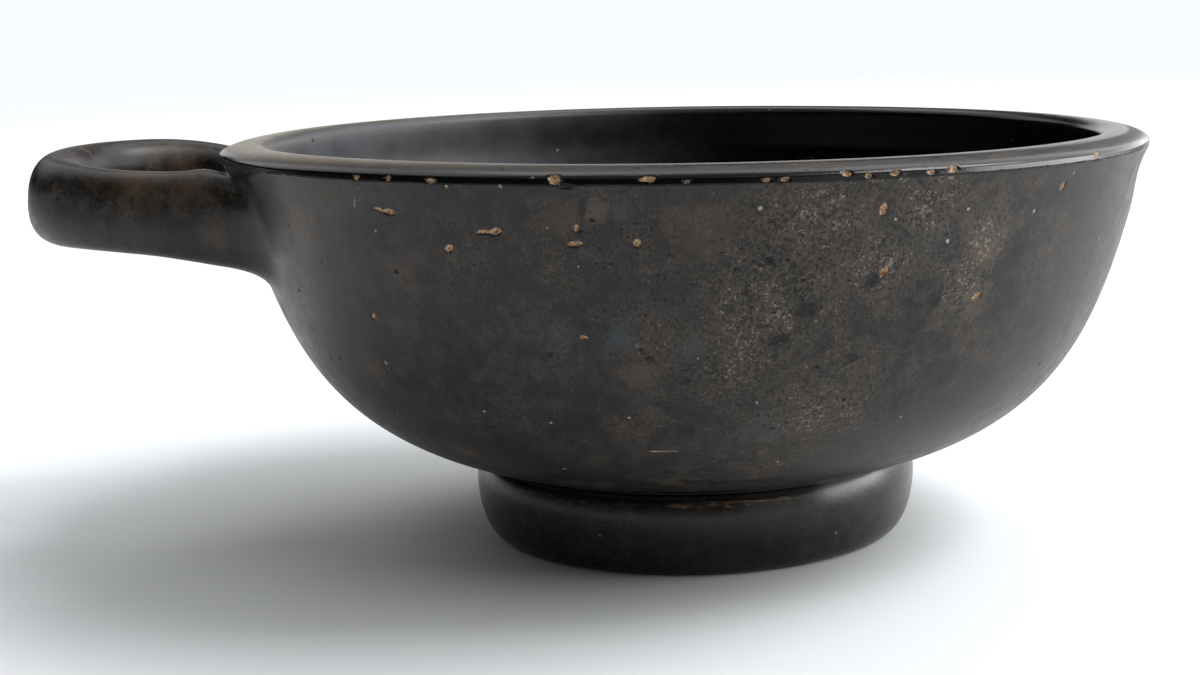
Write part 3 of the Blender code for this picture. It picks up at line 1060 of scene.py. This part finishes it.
# %% masks from the shape
WEAR_REACH = 1.1 * MM
SHEEN_SIDE_START = 18.0 * MM
SHEEN_SIDE_LENGTH = 75.0 * MM
LIP_WORN_FRONT = 3.7 * MM
LIP_WORN_LEFT = 1.0 * MM
LIP_WORN_INSET = 0.9 * MM
LIP_WORN_SHARE = 0.25
LIP_GLOSS_DROP = 0.75 * MM
LIP_EDGE_DARK_REACH = 0.30 * MM
FOOT_GLOSS = 0.5
SHADE_ABOVE_FOOT_REACH = 1.9 * MM
INSIDE_SHADE = 0.8
HANDLE_END_WEAR = 0.7
HANDLE_END_REACH = 3.0 * MM
RIDGE_WEAR = 0.85
RIDGE_WEAR_FRONT = 0.2
RIDGE_WEAR_PLACE = 5.0 * MM
RIDGE_WEAR_REACH = 10.0 * MM
REST_REACH = 0.8 * MM

places = places_of(bowl)
pulled = np.array([handle_pull(Vector(place)) for place in places])
radius = np.hypot(places[:, 0] + pulled * RIM_PULL - AXIS_X, places[:, 1])
height = places[:, 2] + pulled * RIM_DIP
outer_wall = np.interp(height, wall_heights, wall_radii)
on_lip = (radius > RIM_RADIUS - LIP_WIDTH - 0.5 * MM) & (radius < RIM_RADIUS + MM)
on_lip = on_lip & (height > BOWL_HEIGHT - 3.0 * MM)
within = (radius < outer_wall - 0.6 * WALL_THICKNESS) & (height > underside + MM)
on_handle = (radius > outer_wall + 1.5 * MM) & (height > ROOT_BOTTOM - 4 * MM)


def near(distance, reach):
    """1 at no distance, fading as a bell."""
    return np.exp(-(distance / reach) ** 2)


def below(distance, softness):
    """1 well below a limit, 0 well above it, and soft between."""
    return 1 / (1 + np.exp(distance / softness))


# The lip top is worn lighter along its front, and much more on the left, where the extra lightness is a
# painted reflection.
lip_left_sheen = np.clip((AXIS_X - places[:, 0]) / RIM_RADIUS, 0, 1)
worn_to = RIM_RADIUS - LIP_WORN_FRONT + (LIP_WORN_FRONT - LIP_WORN_LEFT) * lip_left_sheen
worn_from = RIM_RADIUS - LIP_WIDTH + LIP_WORN_INSET
lip_top = on_lip * below(radius - worn_to, 0.35 * MM) * below(worn_from - radius, 0.25 * MM)
ridge = near(np.hypot(radius - FOOT_RIDGE_RADIUS, height - FOOT_HEIGHT + FOOT_RIDGE_DROP), WEAR_REACH)
ridge_front = near(places[:, 0] - AXIS_X - RIDGE_WEAR_PLACE, RIDGE_WEAR_REACH)
ridge = ridge * (RIDGE_WEAR + RIDGE_WEAR_FRONT * ridge_front)
rest = near(height, REST_REACH)
handle_end = HANDLE_END_WEAR * near(places[:, 0] - cad_low.x, HANDLE_END_REACH) * on_handle
keep_mask("lip_wear_and_sheen", lip_top * (LIP_WORN_SHARE + (1 - LIP_WORN_SHARE) * lip_left_sheen))
keep_mask("wear", np.maximum.reduce([ridge, rest, handle_end]))
# The inside gets a grey film only on its left, the side that the light falls on: a dusty film and a painted
# sheen.
left_side = np.clip((AXIS_X + SHEEN_SIDE_START - places[:, 0]) / SHEEN_SIDE_LENGTH, 0, 1)
left_side = left_side ** 2 * (3 - 2 * left_side)
keep_mask("inside_film_and_sheen", within * left_side * (1 - lip_top))
on_foot = (height < FOOT_HEIGHT) & (radius > FOOT_TOP_RADIUS - 2 * MM)
lip_edge = BOWL_HEIGHT - LIP_FACE_BOTTOM_DROP
round_rim = (radius > RIM_RADIUS - 1.5 * MM) & (radius < RIM_RADIUS + 0.2 * MM)
lip_face = below(height - BOWL_HEIGHT + LIP_GLOSS_DROP, 0.12 * MM)
lip_face = lip_face * (height > lip_edge - 0.05 * MM) * round_rim
# Painted shade: the belly just above the foot and the inside away from the light are darkened to stand for
# the shade there. The lip face and the foot are really glossier.
shade_above_foot = near(height - FOOT_HEIGHT, SHADE_ABOVE_FOOT_REACH) * (radius > FOOT_TOP_RADIUS - MM)
inside_shade = within * (1 - left_side) * INSIDE_SHADE
keep_mask("polish_and_shade", np.maximum.reduce([lip_face, on_foot * FOOT_GLOSS, shade_above_foot, inside_shade]))
# Dark blotches along the lip's lower edge.
keep_mask("lip_edge_dark", near(height - lip_edge, LIP_EDGE_DARK_REACH) * round_rim)

# %% [markdown]
# ## The black glaze
# It is not a true glaze but a slip: the finest part of the same iron-rich clay, brushed on thin and
# fired without air, so that it sinters to a black skin with a half gloss. Its index is about that of
# glass, 1.5. It is nearly black beneath, and what the eye sees is mostly its broken reflection. Long
# burial has dulled it: roughness 0.3 to 0.5, olive and bluish clouds, pinholes and a brown crust.
#
# One helper adds a node, and every pattern has its size in millimetres. An Object coordinate counts
# metres, so a pattern whose marks are so many millimetres apart has the scale 1 / (size x 0.001).

# %% helpers for materials
def linear(hex_colour):
    """An sRGB colour, as #rrggbb, turned to the linear colour that a shader works with."""
    parts = [int(hex_colour[start:start + 2], 16) / 255 for start in (1, 3, 5)]
    return (*[part / 12.92 if part <= 0.04045 else ((part + 0.055) / 1.055) ** 2.4 for part in parts], 1.0)


def add(tree, kind, out, links, **settings):
    """Add a node with its settings. A link's value is another node's output or a plain value."""
    node = tree.nodes.new("ShaderNode" + kind)
    for name, value in settings.items():
        setattr(node, name, value)
    for name, value in links.items():
        if isinstance(value, bpy.types.NodeSocket):
            tree.links.new(value, node.inputs[name])
        else:
            node.inputs[name].default_value = value
    return node.outputs[out] if out is not None else node


def per(size):
    """The scale of a pattern whose marks are this many millimetres apart."""
    return 1 / (size * MM)


# A Mix node has sockets for each kind of value. These are its colour ones, and its colour result.
FACTOR, UNDER, OVER, MIXED = 0, 6, 7, 2

# %% colours of the bowl
SLIP_BLACK = linear("#141210")
SLIP_OLIVE = linear("#29231e")
SLIP_BLUE = linear("#1a2025")
BLUE_BLOOM = linear("#2f383d")
# Brown stains, and beside the handle a painted sheen.
BROWN_STAIN_AND_SHEEN = linear("#4c3e32")
CRUST_FILM = linear("#443d35")
CRUST_PALE = linear("#948878")
CLAY_ORANGE = linear("#c1a384")
CLAY_CORE = linear("#78593f")
CLAY_PALE = linear("#9a9082")
WORN_BROWN = linear("#705a48")
# Near black for pits, pinholes and dark marks: dirt in them, and painted shade in the hollow.
DIRT_AND_SHADE_BLACK = linear("#08080a")
# A darker black for the glossy lip face and foot, and painted shade above the foot and on the inside away
# from the light.
POLISHED_AND_SHADED_BLACK = linear("#0a0a0b")
# Worn lip top, painted lighter towards the left as a reflection.
LIP_WORN_SHEEN_GREY = linear("#857f72")
LIP_WORN_SHEEN_BROWN = linear("#756855")
# Grey film inside, laid on its lit side only, so partly a painted sheen.
FILM_AND_SHEEN_GREY = linear("#444549")

# %% the glaze, where its patterns lie
STREAK_FLATNESS = 9.0
PIT_FLATNESS = 1.6
FIBRE_SLIMNESS = 0.6
RAG_WIDTH = 0.5
RAG_SPACING = 0.45
SHIFT = (0.2, 0.1, 0.3)

glaze = bpy.data.materials.new("black_slip_glaze")
glaze.use_nodes = True
tree = glaze.node_tree
tree.nodes.clear()
spot = add(tree, "TexCoord", "Object", {})
turned_spot = add(tree, "Mapping", "Vector", {"Vector": spot, "Scale": (1.0, 1.0, STREAK_FLATNESS)})
fibre_spot = add(tree, "Mapping", "Vector", {"Vector": spot, "Scale": (1.0, 1.0, FIBRE_SLIMNESS)})
shifted_spot = add(tree, "Mapping", "Vector", {"Vector": spot, "Location": SHIFT})
rag = add(tree, "TexNoise", "Color", {
    "Vector": spot, "Scale": per(RAG_SPACING), "Detail": 3.0, "Roughness": 0.7})
rag_centred = add(tree, "VectorMath", 0, {0: rag, 1: (0.5, 0.5, 0.5)}, operation="SUBTRACT")
ragged_spot = add(tree, "VectorMath", 0, {
    0: rag_centred, 1: (RAG_WIDTH * MM,) * 3, 2: spot}, operation="MULTIPLY_ADD")
flat_spot = add(tree, "Mapping", "Vector", {"Vector": ragged_spot, "Scale": (1.0, 1.0, PIT_FLATNESS)})

# %% the glaze, its patterns with their sizes in millimetres
Pattern = namedtuple("Pattern", "where size detail roughness")

PATTERNS = {
    "clouds": Pattern(spot, 8.0, 4.0, 0.65),
    "blue clouds": Pattern(shifted_spot, 10.0, 4.0, 0.65),
    "streaks": Pattern(turned_spot, 6.0, 4.0, 0.65),
    "blotches": Pattern(spot, 1.8, 4.0, 0.72),
    "mottles": Pattern(shifted_spot, 2.4, 4.0, 0.75),
    "fibres": Pattern(fibre_spot, 0.30, 3.0, 0.7),
    "dashes": Pattern(turned_spot, 3.0, 4.0, 0.7),
    "net": Pattern(ragged_spot, 0.55, 3.0, 0.75),
    "flecks": Pattern(shifted_spot, 0.40, 3.0, 0.75),
    "ragged pits": Pattern(flat_spot, 0.80, 4.0, 0.65),
    "mark edges": Pattern(spot, 0.22, 3.0, 0.6),
    "clay": Pattern(spot, 0.30, 3.0, 0.7),
}
MASKS = ("blue_cast", "brown_stain_and_sheen", "clay", "crust", "dark", "lip_edge_dark", "lip_wear_and_sheen", "inside_film_and_sheen", "pale", "pitted",
         "polish_and_shade", "wear")

noises = {}
for name, pattern in PATTERNS.items():
    noises[name] = add(tree, "TexNoise", "Fac", {
        "Vector": pattern.where, "Scale": per(pattern.size), "Detail": pattern.detail,
        "Roughness": pattern.roughness})
masks = {name: add(tree, "Attribute", "Fac", {}, attribute_name=name) for name in MASKS}
print("patterns:", list(noises), "masks:", list(masks))

# %% the glaze, its clouds, mottles and fibres
olive_share = add(tree, "MapRange", "Result", {"Value": noises["clouds"], "From Min": 0.36, "From Max": 0.60})
blue_share = add(tree, "MapRange", "Result", {
    "Value": noises["blue clouds"], "From Min": 0.53, "From Max": 0.80})
colour = add(tree, "Mix", MIXED, {FACTOR: olive_share, UNDER: SLIP_BLACK, OVER: SLIP_OLIVE}, data_type="RGBA")
colour = add(tree, "Mix", MIXED, {FACTOR: blue_share, UNDER: colour, OVER: SLIP_BLUE}, data_type="RGBA")
mottle_shade = add(tree, "MapRange", "Result", {
    "Value": noises["mottles"], "From Min": 0.34, "From Max": 0.66, "To Min": 0.10, "To Max": 1.75})
fibre_shade = add(tree, "MapRange", "Result", {
    "Value": noises["fibres"], "From Min": 0.36, "From Max": 0.64, "To Min": 0.0, "To Max": 2.1})
fibre_strength = add(tree, "MapRange", "Result", {
    "Value": masks["pitted"], "From Min": 0.05, "From Max": 0.60, "To Min": 0.45, "To Max": 1.0})
fibre_shade = add(tree, "Mix", 0, {FACTOR: fibre_strength, 2: 1.0, 3: fibre_shade}, data_type="FLOAT")
shade = add(tree, "Math", 0, {0: mottle_shade, 1: fibre_shade}, operation="MULTIPLY")
colour = add(tree, "VectorMath", 0, {0: colour, "Scale": shade}, operation="SCALE")

# %% the glaze, its blooms, stains and a painted sheen
PATCH_LEVEL = 0.80
PATCH_SOFTNESS = 0.60

layers = []
for cast, tone in (("blue_cast", BLUE_BLOOM), ("brown_stain_and_sheen", BROWN_STAIN_AND_SHEEN)):
    broken = add(tree, "Math", 0, {0: masks[cast], 1: noises["blotches"]}, operation="ADD")
    share = add(tree, "MapRange", "Result", {
        "Value": broken, "From Min": PATCH_LEVEL, "From Max": PATCH_LEVEL + PATCH_SOFTNESS, "To Max": 0.85})
    layers.append((share, tone))

# %% the glaze, worn edges, painted shade, and the inside film with its painted sheen
FILM_AND_SHEEN_STRENGTH = 1.8

# Painted shade and gloss: a darker black above the foot, inside away from the light, on the lip face and on
# the foot.
layers.append((masks["polish_and_shade"], POLISHED_AND_SHADED_BLACK))
wear_broken = add(tree, "Math", 0, {0: masks["wear"], 1: noises["dashes"]}, operation="MULTIPLY")
wear_share = add(tree, "MapRange", "Result", {
    "Value": wear_broken, "From Min": 0.45, "From Max": 0.62, "To Max": 0.8})
layers.append((wear_share, WORN_BROWN))
# The lip top's wear, with a painted reflection that grows towards the left.
lip_cover = add(tree, "MapRange", "Result", {
    "Value": noises["blotches"], "From Min": 0.30, "From Max": 0.60, "To Min": 0.55, "To Max": 0.95})
lip_sheen_share = add(tree, "Math", 0, {0: masks["lip_wear_and_sheen"], 1: lip_cover}, operation="MULTIPLY")
lip_wear_sheen_tone = add(tree, "Mix", MIXED, {FACTOR: olive_share, UNDER: LIP_WORN_SHEEN_GREY, OVER: LIP_WORN_SHEEN_BROWN}, data_type="RGBA")
layers.append((lip_sheen_share, lip_wear_sheen_tone))
# Painted sheen: the grey film inside, only on its lit left side.
film_sheen_share = add(tree, "Math", 0, {0: masks["inside_film_and_sheen"], 1: noises["clouds"]}, operation="MULTIPLY")
film_sheen_share = add(tree, "Math", 0, {0: film_sheen_share, 1: FILM_AND_SHEEN_STRENGTH}, operation="MULTIPLY")
layers.append((film_sheen_share, FILM_AND_SHEEN_GREY))

# %% the glaze, its brown crust
CLUMPING = 0.45
KEPT_CLEAN = 0.7

crust_edge = add(tree, "Math", 0, {0: masks["crust"], 1: noises["clouds"]}, operation="ADD")
crust_edge = add(tree, "Math", 0, {
    0: masks["polish_and_shade"], 1: -KEPT_CLEAN, 2: crust_edge}, operation="MULTIPLY_ADD")
crust_edge = add(tree, "Math", 0, {0: crust_edge, 1: noises["blotches"]}, operation="ADD")
film_share = add(tree, "MapRange", "Result", {"Value": crust_edge, "From Min": 1.00, "From Max": 1.55})
film_broken = add(tree, "MapRange", "Result", {
    "Value": noises["net"], "From Min": 0.47, "From Max": 0.53, "To Min": 0.0})
film_share = add(tree, "Math", 0, {0: film_share, 1: film_broken}, operation="MULTIPLY")
layers.append((film_share, CRUST_FILM))
fleck_level = add(tree, "MapRange", "Result", {
    "Value": crust_edge, "From Min": 0.9, "From Max": 1.9, "To Min": 0.76, "To Max": 0.52})
clumped = add(tree, "Math", 0, {
    0: noises["mottles"], 1: CLUMPING, 2: -CLUMPING / 2}, operation="MULTIPLY_ADD")
clumped = add(tree, "Math", 0, {0: clumped, 1: noises["flecks"]}, operation="ADD")
fleck_above = add(tree, "Math", 0, {0: clumped, 1: fleck_level}, operation="SUBTRACT")
fleck_share = add(tree, "MapRange", "Result", {
    "Value": fleck_above, "From Min": 0.0, "From Max": 0.06, "To Max": 0.55})
layers.append((fleck_share, CRUST_PALE))

# %% the glaze, ragged pits and pinholes
PIT_SPACING = 1.7
PIT_REACH = 0.30

holes = add(tree, "TexVoronoi", None, {"Vector": flat_spot, "Scale": per(PIT_SPACING), "Randomness": 1.0})
hole_chance = add(tree, "SeparateColor", "Red", {"Color": holes.outputs["Color"]})
rarity = add(tree, "MapRange", "Result", {
    "Value": masks["pitted"], "From Min": 0.0, "From Max": 1.0, "To Min": 0.97, "To Max": 0.55})
hole_size = add(tree, "MapRange", "Result", {
    "Value": hole_chance, "From Min": rarity, "From Max": 1.0, "To Min": -0.05, "To Max": PIT_REACH})
hole_inside = add(tree, "Math", 0, {0: hole_size, 1: holes.outputs["Distance"]}, operation="SUBTRACT")
round_holes = add(tree, "MapRange", "Result", {
    "Value": hole_inside, "From Min": 0.0, "From Max": 0.10, "To Max": 0.9})
pit_level = add(tree, "MapRange", "Result", {
    "Value": masks["pitted"], "From Min": 0.0, "From Max": 1.0, "To Min": 0.76, "To Max": 0.575})
pit_above = add(tree, "Math", 0, {0: noises["ragged pits"], 1: pit_level}, operation="SUBTRACT")
ragged_pits = add(tree, "MapRange", "Result", {
    "Value": pit_above, "From Min": 0.0, "From Max": 0.04, "To Max": 0.9})
hole_share = add(tree, "Math", 0, {0: round_holes, 1: ragged_pits}, operation="MAXIMUM")
# Pits and pinholes painted near black: dirt in them, and painted shade in the hollow.
layers.append((hole_share, DIRT_AND_SHADE_BLACK))
# Dark blotches along the lip's lower edge, breaking up the border of the dark band there.
edge_dark_broken = add(tree, "Math", 0, {0: masks["lip_edge_dark"], 1: noises["blotches"]}, operation="ADD")
edge_dark_share = add(tree, "MapRange", "Result", {
    "Value": edge_dark_broken, "From Min": 1.30, "From Max": 1.42, "To Max": 0.9})
layers.append((edge_dark_share, DIRT_AND_SHADE_BLACK))

# %% the glaze, pale grains that stick to it
SPECK_SPACING = 3.6
SPECK_REACH = 0.085

specks = add(tree, "TexVoronoi", None, {
    "Vector": ragged_spot, "Scale": per(SPECK_SPACING), "Randomness": 1.0})
speck_chance = add(tree, "SeparateColor", "Green", {"Color": specks.outputs["Color"]})
speck_size = add(tree, "MapRange", "Result", {
    "Value": speck_chance, "From Min": 0.45, "From Max": 1.0, "To Min": 0.0, "To Max": SPECK_REACH})
speck_inside = add(tree, "Math", 0, {0: speck_size, 1: specks.outputs["Distance"]}, operation="SUBTRACT")
speck_share = add(tree, "MapRange", "Result", {
    "Value": speck_inside, "From Min": 0.0, "From Max": 0.03, "To Max": 0.7})
layers.append((speck_share, CLAY_PALE))

# %% the glaze, bare clay in the chips
MARK_RAG = 0.5
PIT_RAG = 5.0

mark_rag = add(tree, "Math", 0, {
    0: noises["mark edges"], 1: MARK_RAG, 2: -MARK_RAG / 2}, operation="MULTIPLY_ADD")
clay_share = add(tree, "MapRange", "Result", {"Value": noises["clay"], "From Min": 0.40, "From Max": 0.56})
clay_tone = add(tree, "Mix", MIXED, {
    FACTOR: clay_share, UNDER: CLAY_CORE, OVER: CLAY_ORANGE}, data_type="RGBA")
# Dark marks use the same near black: dirt, and painted shade in the hollow.
mark_shares = []
for kind, tone in (("clay", clay_tone), ("pale", CLAY_PALE), ("dark", DIRT_AND_SHADE_BLACK)):
    ragged_mark = add(tree, "Math", 0, {0: masks[kind], 1: mark_rag}, operation="ADD")
    if kind == "dark":
        ragged_mark = add(tree, "Math", 0, {
            0: noises["net"], 1: PIT_RAG, 2: ragged_mark}, operation="MULTIPLY_ADD")
        ragged_mark = add(tree, "Math", 0, {0: ragged_mark, 1: PIT_RAG / 2}, operation="SUBTRACT")
    share = add(tree, "MapRange", "Result", {"Value": ragged_mark, "From Min": 0.0, "From Max": 0.12})
    layers.append((share, tone))
    mark_shares.append(share)
bare_share = add(tree, "Math", 0, {0: mark_shares[0], 1: mark_shares[1]}, operation="MAXIMUM")

# %% the glaze, one layer over the other
for share, tone in layers:
    colour = add(tree, "Mix", MIXED, {FACTOR: share, UNDER: colour, OVER: tone}, data_type="RGBA")
print("layers of colour:", len(layers))

# %% the glaze, its gloss
GLOSS_LOW = 0.32
GLOSS_HIGH = 0.44
POLISHED_ROUGHNESS = 0.16
PIT_ROUGHNESS = 0.80
CRUST_ROUGHNESS = 0.65
CLAY_ROUGHNESS = 0.90
INSIDE_FILM_ROUGHNESS = 0.50
LIP_ROUGHNESS = 0.30
CLEANNESS = 0.34

gloss = add(tree, "MapRange", "Result", {
    "Value": noises["mottles"], "From Min": 0.35, "From Max": 0.65,
    "To Min": GLOSS_LOW, "To Max": GLOSS_HIGH})
for share, roughness in (
        (masks["polish_and_shade"], POLISHED_ROUGHNESS), (film_sheen_share, INSIDE_FILM_ROUGHNESS), (film_share, CRUST_ROUGHNESS),
        (fleck_share, CRUST_ROUGHNESS), (lip_sheen_share, LIP_ROUGHNESS), (hole_share, PIT_ROUGHNESS),
        (edge_dark_share, PIT_ROUGHNESS), (bare_share, CLAY_ROUGHNESS)):
    gloss = add(tree, "Mix", 0, {FACTOR: share, 2: gloss, 3: roughness}, data_type="FLOAT")

# %% the glaze, its fine relief in millimetres
FIBRE_DEPTH = 0.030
STREAK_DEPTH = 0.004
FILM_DEPTH = 0.030
FLECK_DEPTH = 0.050
PINHOLE_DEPTH = 0.090

fibre_level = add(tree, "Math", 0, {0: noises["fibres"], 1: fibre_strength}, operation="MULTIPLY")
level = add(tree, "Math", 0, {0: fibre_level, 1: FIBRE_DEPTH}, operation="MULTIPLY")
for relief_share, depth in (
        (noises["streaks"], STREAK_DEPTH), (film_share, FILM_DEPTH), (fleck_share, FLECK_DEPTH),
        (hole_share, -PINHOLE_DEPTH)):
    level = add(tree, "Math", 0, {0: relief_share, 1: depth, 2: level}, operation="MULTIPLY_ADD")
relief = add(tree, "Bump", "Normal", {"Height": level, "Distance": MM, "Strength": 1.0})
skin = add(tree, "BsdfPrincipled", "BSDF", {
    "Base Color": colour, "Roughness": gloss, "Normal": relief, "IOR": 1.5, "Specular IOR Level": CLEANNESS,
    "Metallic": 0.0})
add(tree, "OutputMaterial", None, {"Surface": skin})
bowl.data.materials.clear()
bowl.data.materials.append(glaze)
print("black slip glaze:", len(tree.nodes), "nodes")

# %% [markdown]
# ## The set
# The photograph is a studio picture on white. The floor is plain and pale, large enough to fill the
# view, and it is marked as stage, because it is no part of the bowl. It also lights the bowl from
# below: the upper wall mirrors the white floor in front of it, and the belly mirrors its own shadow.
# Further off the paper fades out into the white room, so that no horizon shows.

# %% floor
FLOOR_SIZE = 4.0
PAPER_SOLID = 0.5
PAPER_GONE = 1.9

bpy.ops.object.select_all(action="DESELECT")
bpy.ops.mesh.primitive_plane_add(size=FLOOR_SIZE, location=(0.0, 0.0, 0.0))
floor = bpy.context.active_object
floor.name = "floor"
paper = bpy.data.materials.new("matt_white_paper")
paper.use_nodes = True
paper.node_tree.nodes.clear()
paper_spot = add(paper.node_tree, "TexCoord", "Object", {})
paper_reach = add(paper.node_tree, "VectorMath", "Value", {0: paper_spot}, operation="LENGTH")
fade = add(paper.node_tree, "MapRange", "Result", {
    "Value": paper_reach, "From Min": PAPER_SOLID, "From Max": PAPER_GONE, "To Min": 1.0, "To Max": 0.0},
    interpolation_type="SMOOTHSTEP")
white = add(paper.node_tree, "BsdfPrincipled", "BSDF", {
    "Base Color": linear("#eceff1"), "Roughness": 0.95, "Alpha": fade, "IOR": 1.3})
add(paper.node_tree, "OutputMaterial", None, {"Surface": white})
floor.data.materials.append(paper)
floor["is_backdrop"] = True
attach(bowl, "root")
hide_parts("bowl")

# %% [markdown]
# ## The light
# Each light is a soft box: a large area light that faces the bowl. It is given by where it stands,
# seen from the bowl, how large it looks from there, and how bright its face is. The main one is a tall
# window at the right, which gives the bright right edge and the gloss along the lip. Weaker ones
# stand beside it, behind the bowl and above, and keep the left side from going black. The boxes are
# far away compared with the bowl, so the floor is evenly lit, and their shadows are soft.

# %% soft boxes
LIGHT_DISTANCE = 3.0
SoftBox = namedtuple("SoftBox", "azimuth elevation wide tall radiance")

SOFT_BOXES = {
    "window_high": SoftBox(90, 52, 30, 26, 10.0),
    "window_middle": SoftBox(90, 28, 40, 24, 2.5),
    "window_low": SoftBox(90, 8, 44, 15, 9.0),
    "right_front_high": SoftBox(45, 52, 30, 26, 1.25),
    "right_front_low": SoftBox(45, 8, 44, 15, 0.9),
    "right_behind_high": SoftBox(135, 40, 36, 48, 1.9),
    "right_behind_low": SoftBox(135, 8, 44, 15, 2.8),
    "behind_high": SoftBox(180, 52, 30, 26, 1.44),
    "behind_low": SoftBox(180, 8, 44, 15, 1.13),
    "left_behind": SoftBox(-135, 40, 36, 48, 0.9),
    "above": SoftBox(-60, 85, 70, 70, 0.28),
}


def hang_soft_box(name, box):
    """Hang one soft box, facing the middle of the bowl. Azimuth 0 is the camera's side, 90 the right."""
    azimuth = math.radians(box.azimuth)
    elevation = math.radians(box.elevation)
    level = Vector((math.sin(azimuth), -math.cos(azimuth), 0.0)) * math.cos(elevation)
    way = level + Vector((0.0, 0.0, math.sin(elevation)))
    data = bpy.data.lights.new(name, "AREA")
    data.shape = "RECTANGLE"
    data.size = 2 * LIGHT_DISTANCE * math.tan(math.radians(box.wide / 2))
    data.size_y = 2 * LIGHT_DISTANCE * math.tan(math.radians(box.tall / 2))
    data.energy = box.radiance * math.pi * data.size * data.size_y
    light = bpy.data.objects.new(name, data)
    bpy.context.scene.collection.objects.link(light)
    facing = way.to_track_quat("Z", "Y").to_matrix().to_4x4()
    light.matrix_world = Matrix.Translation(way * LIGHT_DISTANCE) @ facing
    light.visible_camera = False
    return light


soft_boxes = [hang_soft_box(name, box) for name, box in SOFT_BOXES.items()]
print("soft boxes:", {light.name: round(light.data.energy, 1) for light in soft_boxes}, "watts")

# %% white room
WORLD_WHITE = linear("#f8fcff")
WORLD_FILL = 0.10

world = bpy.data.worlds.new("white_room")
bpy.context.scene.world = world
world.use_nodes = True
world.node_tree.nodes.clear()
seen_by_camera = add(world.node_tree, "LightPath", "Is Camera Ray", {})
strength = add(world.node_tree, "MapRange", "Result", {
    "Value": seen_by_camera, "From Min": 0.0, "From Max": 1.0, "To Min": WORLD_FILL, "To Max": 1.0})
sky = add(world.node_tree, "Background", "Background", {"Color": WORLD_WHITE, "Strength": strength})
add(world.node_tree, "OutputWorld", None, {"Surface": sky})
world.cycles_visibility.glossy = False
bpy.context.scene.view_settings.view_transform = "Standard"

# %% keep the boxes and finish
size_boxes = {
    "cad": [list(corner) for corner in (cad_low, cad_high)],
    "visual": [list(corner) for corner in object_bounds()],
}
for name, box in size_boxes.items():
    print(name, "box, mm:", [mm(c) for corner in box for c in corner])
